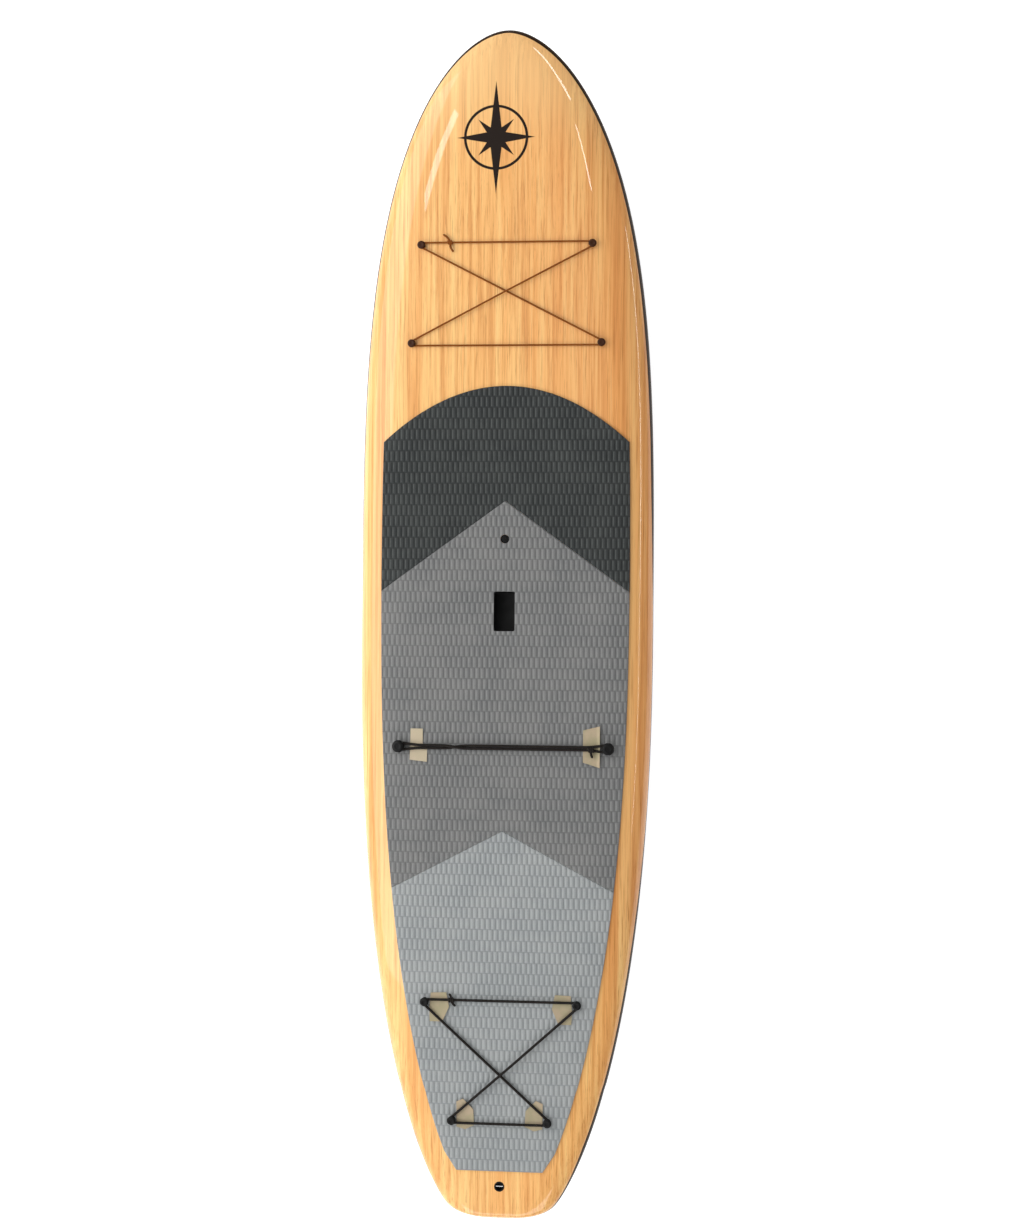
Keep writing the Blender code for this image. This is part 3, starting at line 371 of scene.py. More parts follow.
def pad_paint(name, dark, light, groove, marks):
    """Closed-cell foam: matt, faintly mottled, with painted shade in its grooves and dips and a painted
    highlight along the shoulder of each rib that faces the light. Marks is how strong both are."""
    p = Paint(name, Specular_IOR_Level=0.30)
    x, y, _ = p.axes(p.coords())

    def off_middle(value, pitch):
        """How far a value in pitches is from the nearest whole one, in metres."""
        share = p.math("FRACT", p.plus(value, 0.5))
        return p.times(p.minus(share, 0.5), pitch)

    row = p.math("DIVIDE", y, ROW)
    odd = p.times(p.math("FLOORED_MODULO", p.math("FLOOR", row), 2.0), 0.5)
    past = off_middle(p.minus(p.math("DIVIDE", x, BRICK), odd), BRICK)
    beside, off_row = p.size(past), p.size(off_middle(row, ROW))
    # painted shade: where the grooves between ribs and the dips between rows lie
    in_groove = p.times(p.fade(beside, 0.0024, 0.0008), p.fade(off_row, 0.0008, 0.0026))
    in_dip = p.fade(off_row, 0.0019, 0.0005)
    # painted highlight: the shoulder of each rib that faces the light on the left
    shoulder = p.fade(p.size(p.minus(past, 0.0038)), 0.0018, 0.0004)
    shoulder = p.times(shoulder, p.fade(off_row, 0.0016, 0.0040))
    mottle, patch = p.noise(p.coords(), 9.0, 4.0, 0.6), p.noise(p.coords(), 60.0, 2.0, 0.6)
    speck = p.noise(p.coords(), 900.0, 2.0, 0.7)
    pale = [min(1.0, (1 + marks) * level + 0.008) for level in light]
    base = p.mix(p.fade(mottle, 0.3, 0.7), dark, light)
    # painted highlight along the lit shoulders, in patches
    base = p.mix(p.times(shoulder, p.fade(patch, 0.30, 0.62, 0.35, 1.0)), base, pale)
    # painted shade in the grooves and the dips, in the groove grey
    base = p.mix(p.times(in_groove, marks), base, groove)
    base = p.mix(p.times(in_dip, 0.25 + 0.5 * marks), base, groove)
    # random darker specks, also in the groove grey
    base = p.mix(p.fade(speck, 0.45, 0.7, 0, 0.22), base, groove)
    p.set(Base_Color=base, Roughness=p.fade(speck, 0.3, 0.7, 0.70, 0.88))
    p.bump(p.cells(1400.0), 0.25, 0.0003)
    return p.mat


def moulded_paint(name, low, high, roughness, grain=1600.0, strength=0.12):
    """Moulded plastic or rubber with a fine even grain and slightly uneven gloss."""
    p = Paint(name, Specular_IOR_Level=0.20)
    cloud = p.noise(p.coords(), 45.0, 3.0)
    p.set(
        Base_Color=p.mix(p.attribute("browner"), p.mix(cloud, low, high), srgb(58, 28, 6)),
        Roughness=p.fade(cloud, 0.3, 0.7, roughness * 0.85, min(1.0, roughness * 1.2)),
    )
    p.bump(p.noise(p.coords(), grain, 2.0), strength, 0.0004)
    return p.mat


def steel_paint():
    p = Paint("steel_brushed", Metallic=1.0)
    brushed = p.noise(p.coords((1, 1, 40)), 180.0, 3.0, 0.7)
    p.set(
        Base_Color=p.mix(brushed, (0.50, 0.51, 0.52), (0.66, 0.67, 0.68)),
        Roughness=p.fade(brushed, 0.3, 0.7, 0.20, 0.36),
    )
    p.bump(brushed, 0.08, 0.0002)
    return p.mat


def cord_paint():
    """Braided sleeve: two families of yarn crossing, read from the cord's own lengthwise marks."""
    p = Paint("cord_braid", Roughness=0.62, Sheen_Weight=0.04, Sheen_Roughness=0.5, Specular_IOR_Level=0.22)
    along, around = p.attribute("along"), p.attribute("around")
    yarns = []
    for way in (1, -1):
        turned = p.plus(p.times(along, 420.0), p.times(around, 8.0 * way))
        yarns.append(p.math("SINE", p.times(turned, TURN)))
    weave = p.math("MAXIMUM", *yarns)
    # painted shade: the braid darker in the gaps between the yarns and lighter where they are raised
    raised = p.fade(weave, -0.4, 1.0)
    black = p.mix(raised, srgb(7, 5, 3), srgb(29, 22, 16))
    brown = p.mix(raised, srgb(84, 38, 2), srgb(158, 88, 18))
    p.set(Base_Color=p.mix(p.attribute("browner"), black, brown))
    p.bump(p.plus(weave, p.noise(p.coords(), 2600.0, 2.0)), 0.5, 0.0004)
    return p.mat


def card_paint():
    """Packing card with faint fibres, warmer and cooler patches and soft creases."""
    p = Paint("card_board", Roughness=0.82)
    cloud = p.noise(p.coords(), 28.0, 3.0)
    base = p.mix(p.fade(cloud, 0.35, 0.65), srgb(178, 160, 134), srgb(164, 154, 124))
    base = p.mix(p.attribute("paler"), base, srgb(198, 184, 158))
    fibre = p.noise(p.coords((1, 6, 1)), 500.0, 3.0, 0.7)
    p.set(Base_Color=p.mix(p.fade(fibre, 0.45, 0.75, 0, 0.35), base, srgb(150, 132, 98)))
    p.bump(fibre, 0.2, 0.0003)
    return p.mat


def foam_paint():
    p = Paint("foam_beads", Roughness=0.85)
    beads = p.cells(260.0)
    p.set(Base_Color=p.mix(p.fade(beads, 0.2, 0.7), (0.90, 0.90, 0.88), (0.74, 0.74, 0.72)))
    p.bump(beads, 0.4, 0.001)
    return p.mat


def plywood_paint():
    p = Paint("plywood", Roughness=0.7)
    grain = p.noise(p.coords((3, 0.15, 40)), 30.0, 4.0, 0.65)
    p.set(Base_Color=p.mix(grain, srgb(196, 158, 112), srgb(158, 116, 72)))
    p.bump(grain, 0.2, 0.0005)
    return p.mat


PAD_GREYS = {  # darker and lighter patches, painted shade in grooves, and how strong the painted shade and highlight are
    "dark": (srgb(54, 57, 57), srgb(65, 68, 67), srgb(24, 26, 26), 0.36),
    "mid": (srgb(116, 117, 117), srgb(128, 128, 127), srgb(68, 69, 69), 0.09),
    "light": (srgb(150, 154, 155), srgb(161, 164, 164), srgb(96, 99, 100), 0.06),
}
MATERIALS = {
    "veneer": veneer_paint(),
    "bottom": bottom_paint(),
    **{"pad_" + tone: pad_paint(f"pad_{tone}_grey", *greys) for tone, greys in PAD_GREYS.items()},
    "black_plastic": moulded_paint("black_plastic_satin", srgb(9, 9, 9), srgb(17, 17, 16), 0.42),
    "seal": moulded_paint("seal_rubber", srgb(9, 9, 9), srgb(18, 18, 18), 0.7, 900.0, 0.2),
    "fin": moulded_paint("fin_moulding", srgb(18, 18, 19), srgb(28, 28, 29), 0.36, 700.0, 0.1),
    "steel": steel_paint(),
    "shock_cord": cord_paint(),
    "card": card_paint(),
    "foam": foam_paint(),
    "plywood": plywood_paint(),
}
for node in frame["record"]["subparts"]:
    made = frame["nodes"][node["node"]]
    made.data.materials.clear()
    made.data.materials.append(MATERIALS[node["material_slot"]])


# ---- mesh helpers


def shown(name, data, place=Matrix()):
    """An object in the scene, at a placement."""
    made = bpy.data.objects.new(name, data)
    bpy.context.scene.collection.objects.link(made)
    made.matrix_world = place
    return made


def add_piece(name, mesh, slot, node, body="board", place=Matrix(), sharp=35):
    """An object that rides on a body and stands for a CAD node."""
    mesh.name = name
    mesh.transform(place)
    made = shown(name, mesh)
    mesh.materials.clear()
    mesh.materials.append(MATERIALS[slot])
    mesh.shade_smooth()
    if sharp:
        mesh.set_sharp_from_angle(angle=math.radians(sharp))
    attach(made, body)
    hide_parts(node)
    return made


def turned_out(work, mesh):
    """Puts a bmesh into a mesh, its faces turned to look out."""
    bmesh.ops.recalc_face_normals(work, faces=work.faces)
    work.to_mesh(mesh)
    work.free()
    return mesh


def solid(points, polygons):
    """A closed mesh."""
    mesh = bpy.data.meshes.new("solid")
    mesh.from_pydata([tuple(p) for p in points], [], polygons)
    work = bmesh.new()
    work.from_mesh(mesh)
    return turned_out(work, mesh)


def mark(mesh, name, values):
    """A number for all points of a mesh, or one for each, which its material reads."""
    layer = mesh.attributes.new(name, "FLOAT", "POINT")
    layer.data.foreach_set("value", np.full(len(mesh.vertices), values, np.float32))


def grid_faces(rows, columns, close_columns=False, offset=0):
    made = []
    for r in range(rows - 1):
        for c in range(columns if close_columns else columns - 1):
            n = (c + 1) % columns
            a, b = offset + r * columns + c, offset + r * columns + n
            made.append((a, b, b + columns, a + columns))
    return made


def lathe(profile, segments=48):
    """A solid turned about Z from (radius, height) points; it starts and ends on the axis, or
    closes on itself."""
    on_axis = profile[0][0] == 0
    points, rings = [], []
    for radius, height in profile:
        if radius == 0:
            rings.append([len(points)])
            points.append((0, 0, height))
            continue
        rings.append(list(range(len(points), len(points) + segments)))
        for k in range(segments):
            angle = TURN * k / segments
            points.append((radius * math.cos(angle), radius * math.sin(angle), height))
    pairs = list(zip(rings, rings[1:])) + ([] if on_axis else [(rings[-1], rings[0])])
    faces = []
    for low, high in pairs:
        for k in range(segments):
            n = (k + 1) % segments
            corners = [ring[at % len(ring)] for ring, at in ((low, k), (low, n), (high, n), (high, k))]
            faces.append(tuple(dict.fromkeys(corners)))
    return solid(points, faces)


def eased(profile, radius):
    """Rounds the inner corners of a (radius, height) profile."""
    made = [profile[0]]
    for before, here, after in zip(profile, profile[1:], profile[2:]):
        b, h, a = Vector(before), Vector(here), Vector(after)
        room = min((h - b).length, (a - h).length) * 0.45
        reach = min(radius, room)
        start, end = h + (b - h).normalized() * reach, h + (a - h).normalized() * reach
        for t in (0, 1 / 3, 2 / 3, 1):
            p = start.lerp(h, t).lerp(h.lerp(end, t), t)
            made.append((max(p.x, 1e-6), p.y))
    made.append(profile[-1])
    return made


def box_mesh(low, high, rounding=0.0, upright_only=False, segments=4):
    """A box from corner to corner, with all its edges or only its upright ones rounded."""
    work = bmesh.new()
    bmesh.ops.create_cube(work, size=1)
    size, middle = Vector(high) - Vector(low), (Vector(high) + Vector(low)) / 2
    for corner in work.verts:
        corner.co = Vector([c * s + m for c, s, m in zip(corner.co, size, middle)])
    if rounding:
        edges = list(work.edges)
        if upright_only:
            edges = [e for e in edges if abs(e.verts[0].co.z - e.verts[1].co.z) > size.z / 2]
        bmesh.ops.bevel(work, geom=edges, offset=rounding, segments=segments, profile=0.5, affect="EDGES")
    return turned_out(work, bpy.data.meshes.new("box"))


def upright_box(size, low, high, rounding=0.0):
    """A box centred on Z."""
    across, along = size[0] / 2, size[1] / 2
    return box_mesh((-across, -along, low), (across, along, high), rounding, True)


def carve(mesh, cutters, operation="DIFFERENCE"):
    """A mesh less, or joined with, others: each a mesh, or a mesh and its placement."""
    helpers = [shown("cutter", *(cutter if isinstance(cutter, tuple) else (cutter,))) for cutter in cutters]
    target = shown("carved", mesh)
    for helper in helpers:
        step = target.modifiers.new("cut", "BOOLEAN")
        step.operation, step.solver, step.object = operation, "MANIFOLD", helper
    bpy.context.view_layer.update()
    seen = target.evaluated_get(bpy.context.evaluated_depsgraph_get())
    made = bpy.data.meshes.new_from_object(seen)
    work = bmesh.new()
    work.from_mesh(made)
    bmesh.ops.dissolve_degenerate(work, dist=SAME_POINT, edges=work.edges)
    work.to_mesh(made)
    work.free()
    for extra in (target, *helpers):
        bpy.data.objects.remove(extra, do_unlink=True)
    return made


def plug(radius, depth, height=ABOVE, segments=48):
    """A cutter for a round hole."""
    return lathe(((0, -depth), (radius, -depth), (radius, height), (0, height)), segments)


# ---- hull skins

STATIONS = 150  # along the board, closer together towards its ends
FLAT_STEPS, RAIL_STEPS = 12, 22  # across: from the middle out, and round the rail
FLAT_SHARE = 0.90


def stations():
    turned = np.linspace(-1, 1, STATIONS)
    return (LENGTH / 2 - 0.0003) * np.sin(turned * math.pi / 2)


def skin_layer(upper, inset):
    """Points of a skin's face, one row for each station, from the right seam to the left."""
    y = stations()[:, None]
    power = fullness(y)
    start = np.arccos(FLAT_SHARE ** (power / 2))
    shares = np.linspace(0, FLAT_SHARE, FLAT_STEPS + 1)[None, :-1]
    flat = np.arccos(shares ** (power / 2))
    around = np.linspace(0, 1, RAIL_STEPS + 1)[None, :]
    reach = RAIL_SHARE * thickness(y)
    if upper:
        angle = np.hstack([flat, start + (SEAM_ANGLE - start) * around])
    else:
        seam = -np.arcsin(np.clip(math.sin(SEAM_ANGLE) - GAP * 1.3 / reach, -0.98, 0))
        start = np.arccos(FLAT_SHARE ** (power * 1.5 / 2))
        flat = np.arccos(shares ** (power * 1.5 / 2))
        angle = -np.hstack([flat, start + (seam - start) * around])
    above = angle >= 0
    share = np.where(above, 1 - RAIL_SHARE, RAIL_SHARE)
    half = half_width(y) * (1 - inset / (WIDTH / 2))
    rise = share * thickness(y) * (1 - inset / (share * THICKNESS)) * np.sin(angle)
    x = half * np.clip(np.cos(angle), 0, None) ** (2 / (power * np.where(above, 1, 1.5)))
    y_set = np.broadcast_to(y * (1 - inset / (LENGTH / 2)), x.shape)
    z = rail_height(y) + rise
    right = np.stack([x, y_set, z], -1)[:, ::-1]
    left = right[:, ::-1][:, 1:] * (-1, 1, 1)
    return np.concatenate([right, left], 1)


def skin_mesh(upper):
    """A closed shell: its two faces, the seams' rims and the ends."""
    outer, inner = skin_layer(upper, 0), skin_layer(upper, SKIN)
    rows, columns = outer.shape[:2]
    count = rows * columns
    faces = grid_faces(rows, columns) + grid_faces(rows, columns, offset=count)
    for c in (0, columns - 1):
        for r in range(rows - 1):
            a, b = r * columns + c, (r + 1) * columns + c
            faces.append((a, b, b + count, a + count))
    for r in (0, rows - 1):
        ring = list(range(r * columns, (r + 1) * columns))
        faces.append(tuple(ring))
        faces.append(tuple(k + count for k in ring))
        faces.append((ring[0], ring[-1], ring[-1] + count, ring[0] + count))
    points = np.concatenate([outer.reshape(-1, 3), inner.reshape(-1, 3)])
    mesh = solid(points, faces)
    if upper:
        mark(mesh, "inside", past_dark_edge(points[:, 0], points[:, 1]))
    return mesh


def smooth(value, low, high):
    t = np.clip((value - low) / (high - low), 0, 1)
    return t * t * (3 - 2 * t)


def from_outline(x, y):
    """About how far a point is inside the front outline, in plan."""
    half, long = WIDTH / 2, LENGTH / 2
    share = np.clip(np.abs(x) / half, 1e-4, None)
    fore = np.clip(y, 1e-3, None) / long
    inside = 1 - fore**FRONT_POWER - share ** (1 / FRONT_ROOT)
    slope_x = share ** (1 / FRONT_ROOT - 1) / FRONT_ROOT / half
    slope_y = FRONT_POWER * fore ** (FRONT_POWER - 1) / long
    return inside / np.hypot(slope_x, slope_y)


# (y, width) points of the dark rail line in front of and behind the middle, and its share by x
LINE_FRONT = ((0.05, 0.36, 0.80, 1.30, 1.50, 1.60), (0.0012, 0.0065, 0.0085, 0.0088, 0.0105, 0.0130))
LINE_BACK = ((-1.60, -1.50, -1.40, -0.90, -0.40), (0.0030, 0.0050, 0.0080, 0.0055, 0.0))
LINE_LEAST = 0.0012


def past_dark_edge(x, y):
    """How far a point is inside the dark rail line, which is widest at the tip and on the right."""
    # the line is painted wider on the right than on the left: painted shade
    front = np.interp(y, *LINE_FRONT) * np.interp(x, [-0.20, 0.06], [0.62, 1.0])
    back = np.maximum(LINE_LEAST, np.interp(y, *LINE_BACK) * np.interp(x, [-0.10, 0.10], [0.3, 1.0]))
    slope = (half_width(y + 0.001) - half_width(y - 0.001)) / 0.002
    beside = (half_width(y) - np.abs(x)) / np.hypot(1, slope)
    return np.where(y > 0.3, from_outline(x, y), beside) - np.where(y > 0.0, front, back)


def handle_boxes(grow, over=0.0):
    """The mouth's box and that of the hollow for the fingers, on its left, as (low, high)."""
    across, along, depth = HANDLE
    top = float(deck_height(0, HANDLE_Y))
    low_y, high_y = HANDLE_Y - along / 2 - grow, HANDLE_Y + along / 2 + grow
    floor, half = top - depth - grow, across / 2 + grow
    mouth = ((-half, low_y, floor), (half, high_y, top + over))
    finger = ((-half - FINGER_REACH, low_y, floor), (0, high_y, top - FINGER_TOP + grow))
    return mouth, finger


def button_places():
    for kind, pairs in (("front", FRONT_PAIRS), ("rear", REAR_PAIRS)):
        for where, (half, y) in zip(("fore", "aft"), pairs):
            for side, sign in (("left", -1), ("right", 1)):
                yield f"{kind}_anchor_{where}_{side}", kind, deck_frame(sign * half, y)
    for side, sign in (("left", -1), ("right", 1)):
        yield f"strap_knob_{side}", "strap", deck_frame(sign * KNOB_PAIR[0], KNOB_PAIR[1])


def build_hull():
    cutters = [(plug(BUTTONS[kind][0] + GAP, INSERT_DEPTH), place) for _, kind, place in button_places()]
    cutters.append((plug(VENT_RADIUS + GAP, VENT_DEPTH), deck_frame(0, VENT_Y)))
    cutters.append((plug(LEASH_RADIUS + GAP, LEASH_DEPTH), deck_frame(0, LEASH_Y)))
    mouth, _ = handle_boxes(HANDLE_WALL + GAP, ABOVE)
    cutters.append(box_mesh(*mouth, HANDLE_CORNER, True))
    add_piece("deck_skin", carve(skin_mesh(True), cutters), "veneer", "deck_shell", sharp=40)

    pocket = upright_box([side + 3 * GAP for side in FIN_BOX[:2]], -ABOVE, ABOVE, 0.008)
    bottom = carve(skin_mesh(False), [(pocket, fin_frame())])
    add_piece("bottom_skin", bottom, "bottom", "bottom_shell", sharp=40)


# ---- traction pad


def pad_half_width(y):
    margin = PAD_MARGIN + PAD_MARGIN_GROWTH * np.clip(PAD_MARGIN_FROM - y, 0, None)
    share = np.clip((PAD_CHAMFER_FROM - y) / (PAD_CHAMFER_FROM - PAD_END), 0, 1)
    start = half_width(np.maximum(y, PAD_CHAMFER_FROM)) - margin
    return start + (PAD_END_HALF - start) * share


def pad_edge_front(x):
    return ARC_APEX - ARC_BEND * x * x


def pad_edge_chevron(which):
    return lambda x: CHEVRON_APEX[which] - CHEVRON_SLOPE[which] * np.abs(x)


def pad_edge_end(x):
    return PAD_END + 0 * x


def pad_outline(front, back):
    """A pad's outline in plan, anticlockwise from the right end of its back edge."""
    def corner(edge):
        y = float(edge(0.0))
        for _ in range(40):
            y = (y + float(edge(pad_half_width(y)))) / 2
        return y

    high, low = corner(front), corner(back)
    rise = low + (high - low) * np.linspace(0, 1, 61)
    if low < PAD_CHAMFER_FROM < high:
        rise[np.abs(rise - PAD_CHAMFER_FROM).argmin()] = PAD_CHAMFER_FROM
    right = np.stack([pad_half_width(rise), rise], 1)
    across = np.linspace(1, -1, 61)[1:-1] * right[-1, 0]
    top = np.column_stack([across, front(across)])
    across = np.linspace(-1, 1, 61)[1:-1] * right[0, 0]
    bottom = np.column_stack([across, back(across)])
    return np.concatenate([right, top, right[::-1] * (-1, 1), bottom])


def drawn_in(outline, distance):
    """A closed outline moved inwards, its corners kept sharp."""
    before, after = np.roll(outline, 1, 0), np.roll(outline, -1, 0)
    ways = [outline - before, after - outline]
    normals = [np.stack([-w[:, 1], w[:, 0]], 1) / np.hypot(w[:, 0], w[:, 1])[:, None] for w in ways]
    middle = normals[0] + normals[1]
    return outline + distance * 2 * middle / (middle**2).sum(1)[:, None]


def prism(loops):
    """A closed solid through (outline, height) loops with the same number of points."""
    count = len(loops[0][0])
    points = np.concatenate([np.column_stack([plan, np.full(count, z)]) for plan, z in loops])
    faces = grid_faces(len(loops), count, True)
    faces += [tuple(range(count)), tuple(range(len(points) - count, len(points)))]
    return solid(points, faces)


def zipped(low, high):
    """Triangles between two lines of (x, index) that run the same way."""
    made, a, b = [], 0, 0
    while a < len(low) - 1 or b < len(high) - 1:
        step = b == len(high) - 1 or (a < len(low) - 1 and low[a + 1][0] <= high[b + 1][0])
        made.append((low[a][1], low[a + 1][1] if step else high[b + 1][1], high[b][1]))
        a, b = a + step, b + (not step)
    return made


def embossed_slab(low_y, high_y):
    """A flat foam sheet with staggered rows of ribs on its top."""
    floor, lip = GROOVE
    offsets = np.array([-lip, -floor, floor, lip, BRICK / 2])
    columns = []
    for half in (0, 0.5):
        columns.append(np.concatenate([(k + half) * BRICK + offsets for k in range(-RIBS, RIBS)]))
    both = np.sort(np.concatenate(columns))
    left, right = both[0] - 0.01, both[-1] + 0.01
    columns = [np.concatenate([[left], c, [right]]) for c in columns]
    both = np.concatenate([[left], both, [right]])
    first, last = math.floor(low_y / ROW), math.ceil(high_y / ROW)
    points, faces, previous = [], [], None
    edges = [[], []]

    def line(x, y, ribs, dip):
        """One line of points across the sheet, as (x, index); dip is 1 in the middle of a dip."""
        offset = np.abs(ribs - np.round(ribs / BRICK) * BRICK)
        pressed = np.interp(offset, [floor, lip], [1, 0])
        crown = CROWN * np.cos(math.pi * (offset / BRICK - 0.5)) ** 2
        height = PAD - (GROOVE_DEPTH * pressed - crown) * (1 - dip) - DIP_DEPTH * dip - CROWN
        start = len(points)
        points.extend(zip(x, [y] * len(x), height))
        edges[0].append(start)
        edges[1].append(len(points) - 1)
        return [(value, start + k) for k, value in enumerate(x)]

    for row in range(first, last + 1):
        shared = line(both, row * ROW, both, 1.0)
        if previous:
            faces += zipped(previous, shared)
        if row == last:
            break
        half = row % 2
        x = columns[half]
        for k, v in enumerate((DIP[0], DIP[1], ROW / 2, ROW - DIP[1], ROW - DIP[0])):
            here = line(x, row * ROW + v, x - half * BRICK / 2, 0.85 if k in (0, 4) else 0.0)
            if k == 0:
                faces += zipped(shared, here)
            else:
                pairs = zip(previous, previous[1:], here, here[1:])
                faces += [(a[1], b[1], d[1], c[1]) for a, b, c, d in pairs]
            previous = here
    under = np.linspace(left, right, UNDER)
    ys = np.linspace(first * ROW, last * ROW, max(4, round((last - first) * ROW / 0.04)))
    start, rows = len(points), range(len(ys) - 1, -1, -1)
    points += [(x, y, 0.0) for y in ys for x in under]
    faces += grid_faces(len(ys), UNDER, offset=start)
    back = list(range(start, start + UNDER))
    front = [k + UNDER * (len(ys) - 1) for k in back]
    faces.append((*range(len(both)), *reversed(back)))
    faces.append((*[k for _, k in shared], *reversed(front)))
    for side, corner in zip(edges, (0, UNDER - 1)):
        faces.append((*side, *[start + corner + UNDER * r for r in rows]))
    return solid(points, faces)


def pad_mesh(front, back):
    """The embossed sheet cut to its outline with a sloping rim, and bent over the deck."""
    outline = drawn_in(pad_outline(front, back), 0.3 * GAP)
    slab = embossed_slab(outline[:, 1].min(), outline[:, 1].max())
    low = PAD - RIM
    knife = prism([
        (outline, -0.002),
        (outline, low),
        (drawn_in(outline, RIM * 0.35), low + RIM * 0.65),
        (drawn_in(outline, RIM * 1.2), low + RIM),
        (drawn_in(outline, RIM * 1.6), low + RIM * 1.4),
    ])
    mesh = carve(slab, [knife], "INTERSECT")
    points = np.empty(len(mesh.vertices) * 3)
    mesh.vertices.foreach_get("co", points)
    points = points.reshape(-1, 3)
    points[:, 2] += deck_height(points[:, 0], points[:, 1]) + PAD_LIFT
    mesh.vertices.foreach_set("co", points.ravel())
    mesh.update()
    return mesh


def build_pads():
    first, second = pad_edge_chevron(0), pad_edge_chevron(1)
    holes = {"front": [], "middle": [], "rear": []}
    for _, kind, place in button_places():
        if kind != "front":
            hole = (plug(BUTTONS[kind][1] + 2 * GAP, 0.01), place)
            holes["middle" if kind == "strap" else "rear"].append(hole)
    holes["middle"].append((plug(VENT_RADIUS + 0.0007, 0.01), deck_frame(0, VENT_Y)))
    low, high = handle_boxes(0.0008, ABOVE)[0]
    holes["middle"].append(box_mesh((*low[:2], high[2] - 0.04), high, 0.004, True))
    for part, tone, front, back in (
        ("front", "dark", pad_edge_front, first),
        ("middle", "mid", first, second),
        ("rear", "light", second, pad_edge_end),
    ):
        mesh = carve(pad_mesh(front, back), holes[part])
        made = add_piece("traction_pad_" + part, mesh, "pad_" + tone, "deck_pad_" + part, sharp=60)


# ---- deck fittings


def build_buttons():
    for name, kind, place in button_places():
        _, collar, seat, neck, neck_top, cap, cap_top = BUTTONS[kind]
        rise = cap_top - neck_top
        profile = (
            (0, -STEM_DEPTH), (STEM, -STEM_DEPTH), (STEM, GAP), (collar, GAP), (collar, seat),
            (neck, seat), (neck, neck_top), (cap * 0.94, neck_top), (cap, neck_top + rise * 0.30),
            (cap * 0.96, neck_top + rise * 0.62), (cap * 0.80, neck_top + rise * 0.90),
            (cap * 0.50, cap_top), (cap * 0.40, cap_top - 0.0006), (0, cap_top - 0.0009),
        )
        mesh = lathe(eased(profile, 0.0008), 48)
        if kind == "strap":
            flutes = []
            for k in range(FLUTES):
                x, y = math.cos(TURN * k / FLUTES), math.sin(TURN * k / FLUTES)
                flute = Matrix.Translation((1.08 * cap * x, 1.08 * cap * y, neck_top - 0.001))
                flutes.append((plug(0.0026, 0.0, 0.03, 16), flute))
            mesh = carve(mesh, flutes)
        mark(mesh, "browner", float(kind == "front"))
        add_piece("moulded_" + name, mesh, "black_plastic", name, place=place)


def build_vent():
    place = deck_frame(0, VENT_Y)
    body = (
        (0.0044, -VENT_DEPTH), (VENT_RADIUS, -VENT_DEPTH), (VENT_RADIUS, 0.0030),
        (0.0085, 0.0030), (0.0085, -0.0010), (0.0044, -0.0010), (0.0044, -VENT_DEPTH),
    )
    ring = eased(body, 0.0007)[:-1]
    add_piece("vent_housing", lathe(ring), "black_plastic", "vent_body", place=place)
    around = np.linspace(0, TURN, 12)[:-1]
    section = [(0.0061 + 0.0016 * math.cos(t), 0.0007 * math.sin(t)) for t in around]
    add_piece("vent_o_ring", lathe(section), "seal", "vent_seal", "vent_gasket", place)
    screw = (
        (0, -0.0160), (0.0032, -0.0160), (0.0040, -0.0150), (0.0040, 0.0010),
        (0.0080, 0.0010), (0.0080, 0.0038), (0.0070, 0.0046), (0, 0.0046),
    )
    slot = box_mesh((-0.009, -0.0009, 0.0030), (0.009, 0.0009, 0.0060))
    mesh = carve(lathe(eased(screw, 0.0005)), [slot])
    add_piece("vent_cap_screw", mesh, "black_plastic", "vent_screw", "vent_screw", place)


def pin_mesh(reach):
    profile = ((0, -reach), (PIN_RADIUS, -reach), (PIN_RADIUS, reach), (0, reach))
    return lathe(eased(profile, 0.0004), 32)


def build_leash_plug():
    place = deck_frame(0, LEASH_Y)
    r, d, w = LEASH_RADIUS, LEASH_DEPTH, LEASH_WALL
    cup = ((0, -d), (r, -d), (r, 0.0008), (r - w, 0.0008), (r - w, w - d), (0, w - d))
    below = Matrix.Translation((0, 0, -LEASH_PIN_BELOW)) @ Matrix.Rotation(math.pi / 2, 4, "Y")
    mesh = carve(lathe(eased(cup, 0.0007)), [(plug(PIN_HOLE, r - 0.001, r - 0.001, 24), below)])
    add_piece("leash_socket", mesh, "black_plastic", "leash_cup", place=place)
    add_piece("leash_bar", pin_mesh(r - 0.001 - GAP), "steel", "leash_pin", place=place @ below)


def build_handle():
    mouth, finger = (box_mesh(*box, HANDLE_CORNER, True, 6) for box in handle_boxes(HANDLE_WALL))
    shell = carve(mouth, [finger], "UNION")
    hollows = [box_mesh(*box, 0.005) for box in handle_boxes(0, ABOVE)]
    add_piece("handle_well", carve(shell, hollows), "black_plastic", "handle_cup")


# ---- cords

BRAID_PITCH = 0.0048
CORD_SIDES, CORD_STEP = 16, 0.0015
LEG_STEPS, BEND_STEPS = 96, 16  # of a route between two buttons and round one


def tangent_offsets(start, end, before, after, radius):
    """Where a cord leaves one neck and meets the next; before and after are its turns' ways."""
    way = end - start
    distance = way.length
    along = way / distance
    left = Vector((-along.y, along.x))
    if before == after:
        turned = -before * left
        return start + radius * turned, end + radius * turned
    lean = 2 * radius / distance
    turned = lean * along - before * math.sqrt(1 - lean * lean) * left
    return start + radius * turned, end - radius * turned


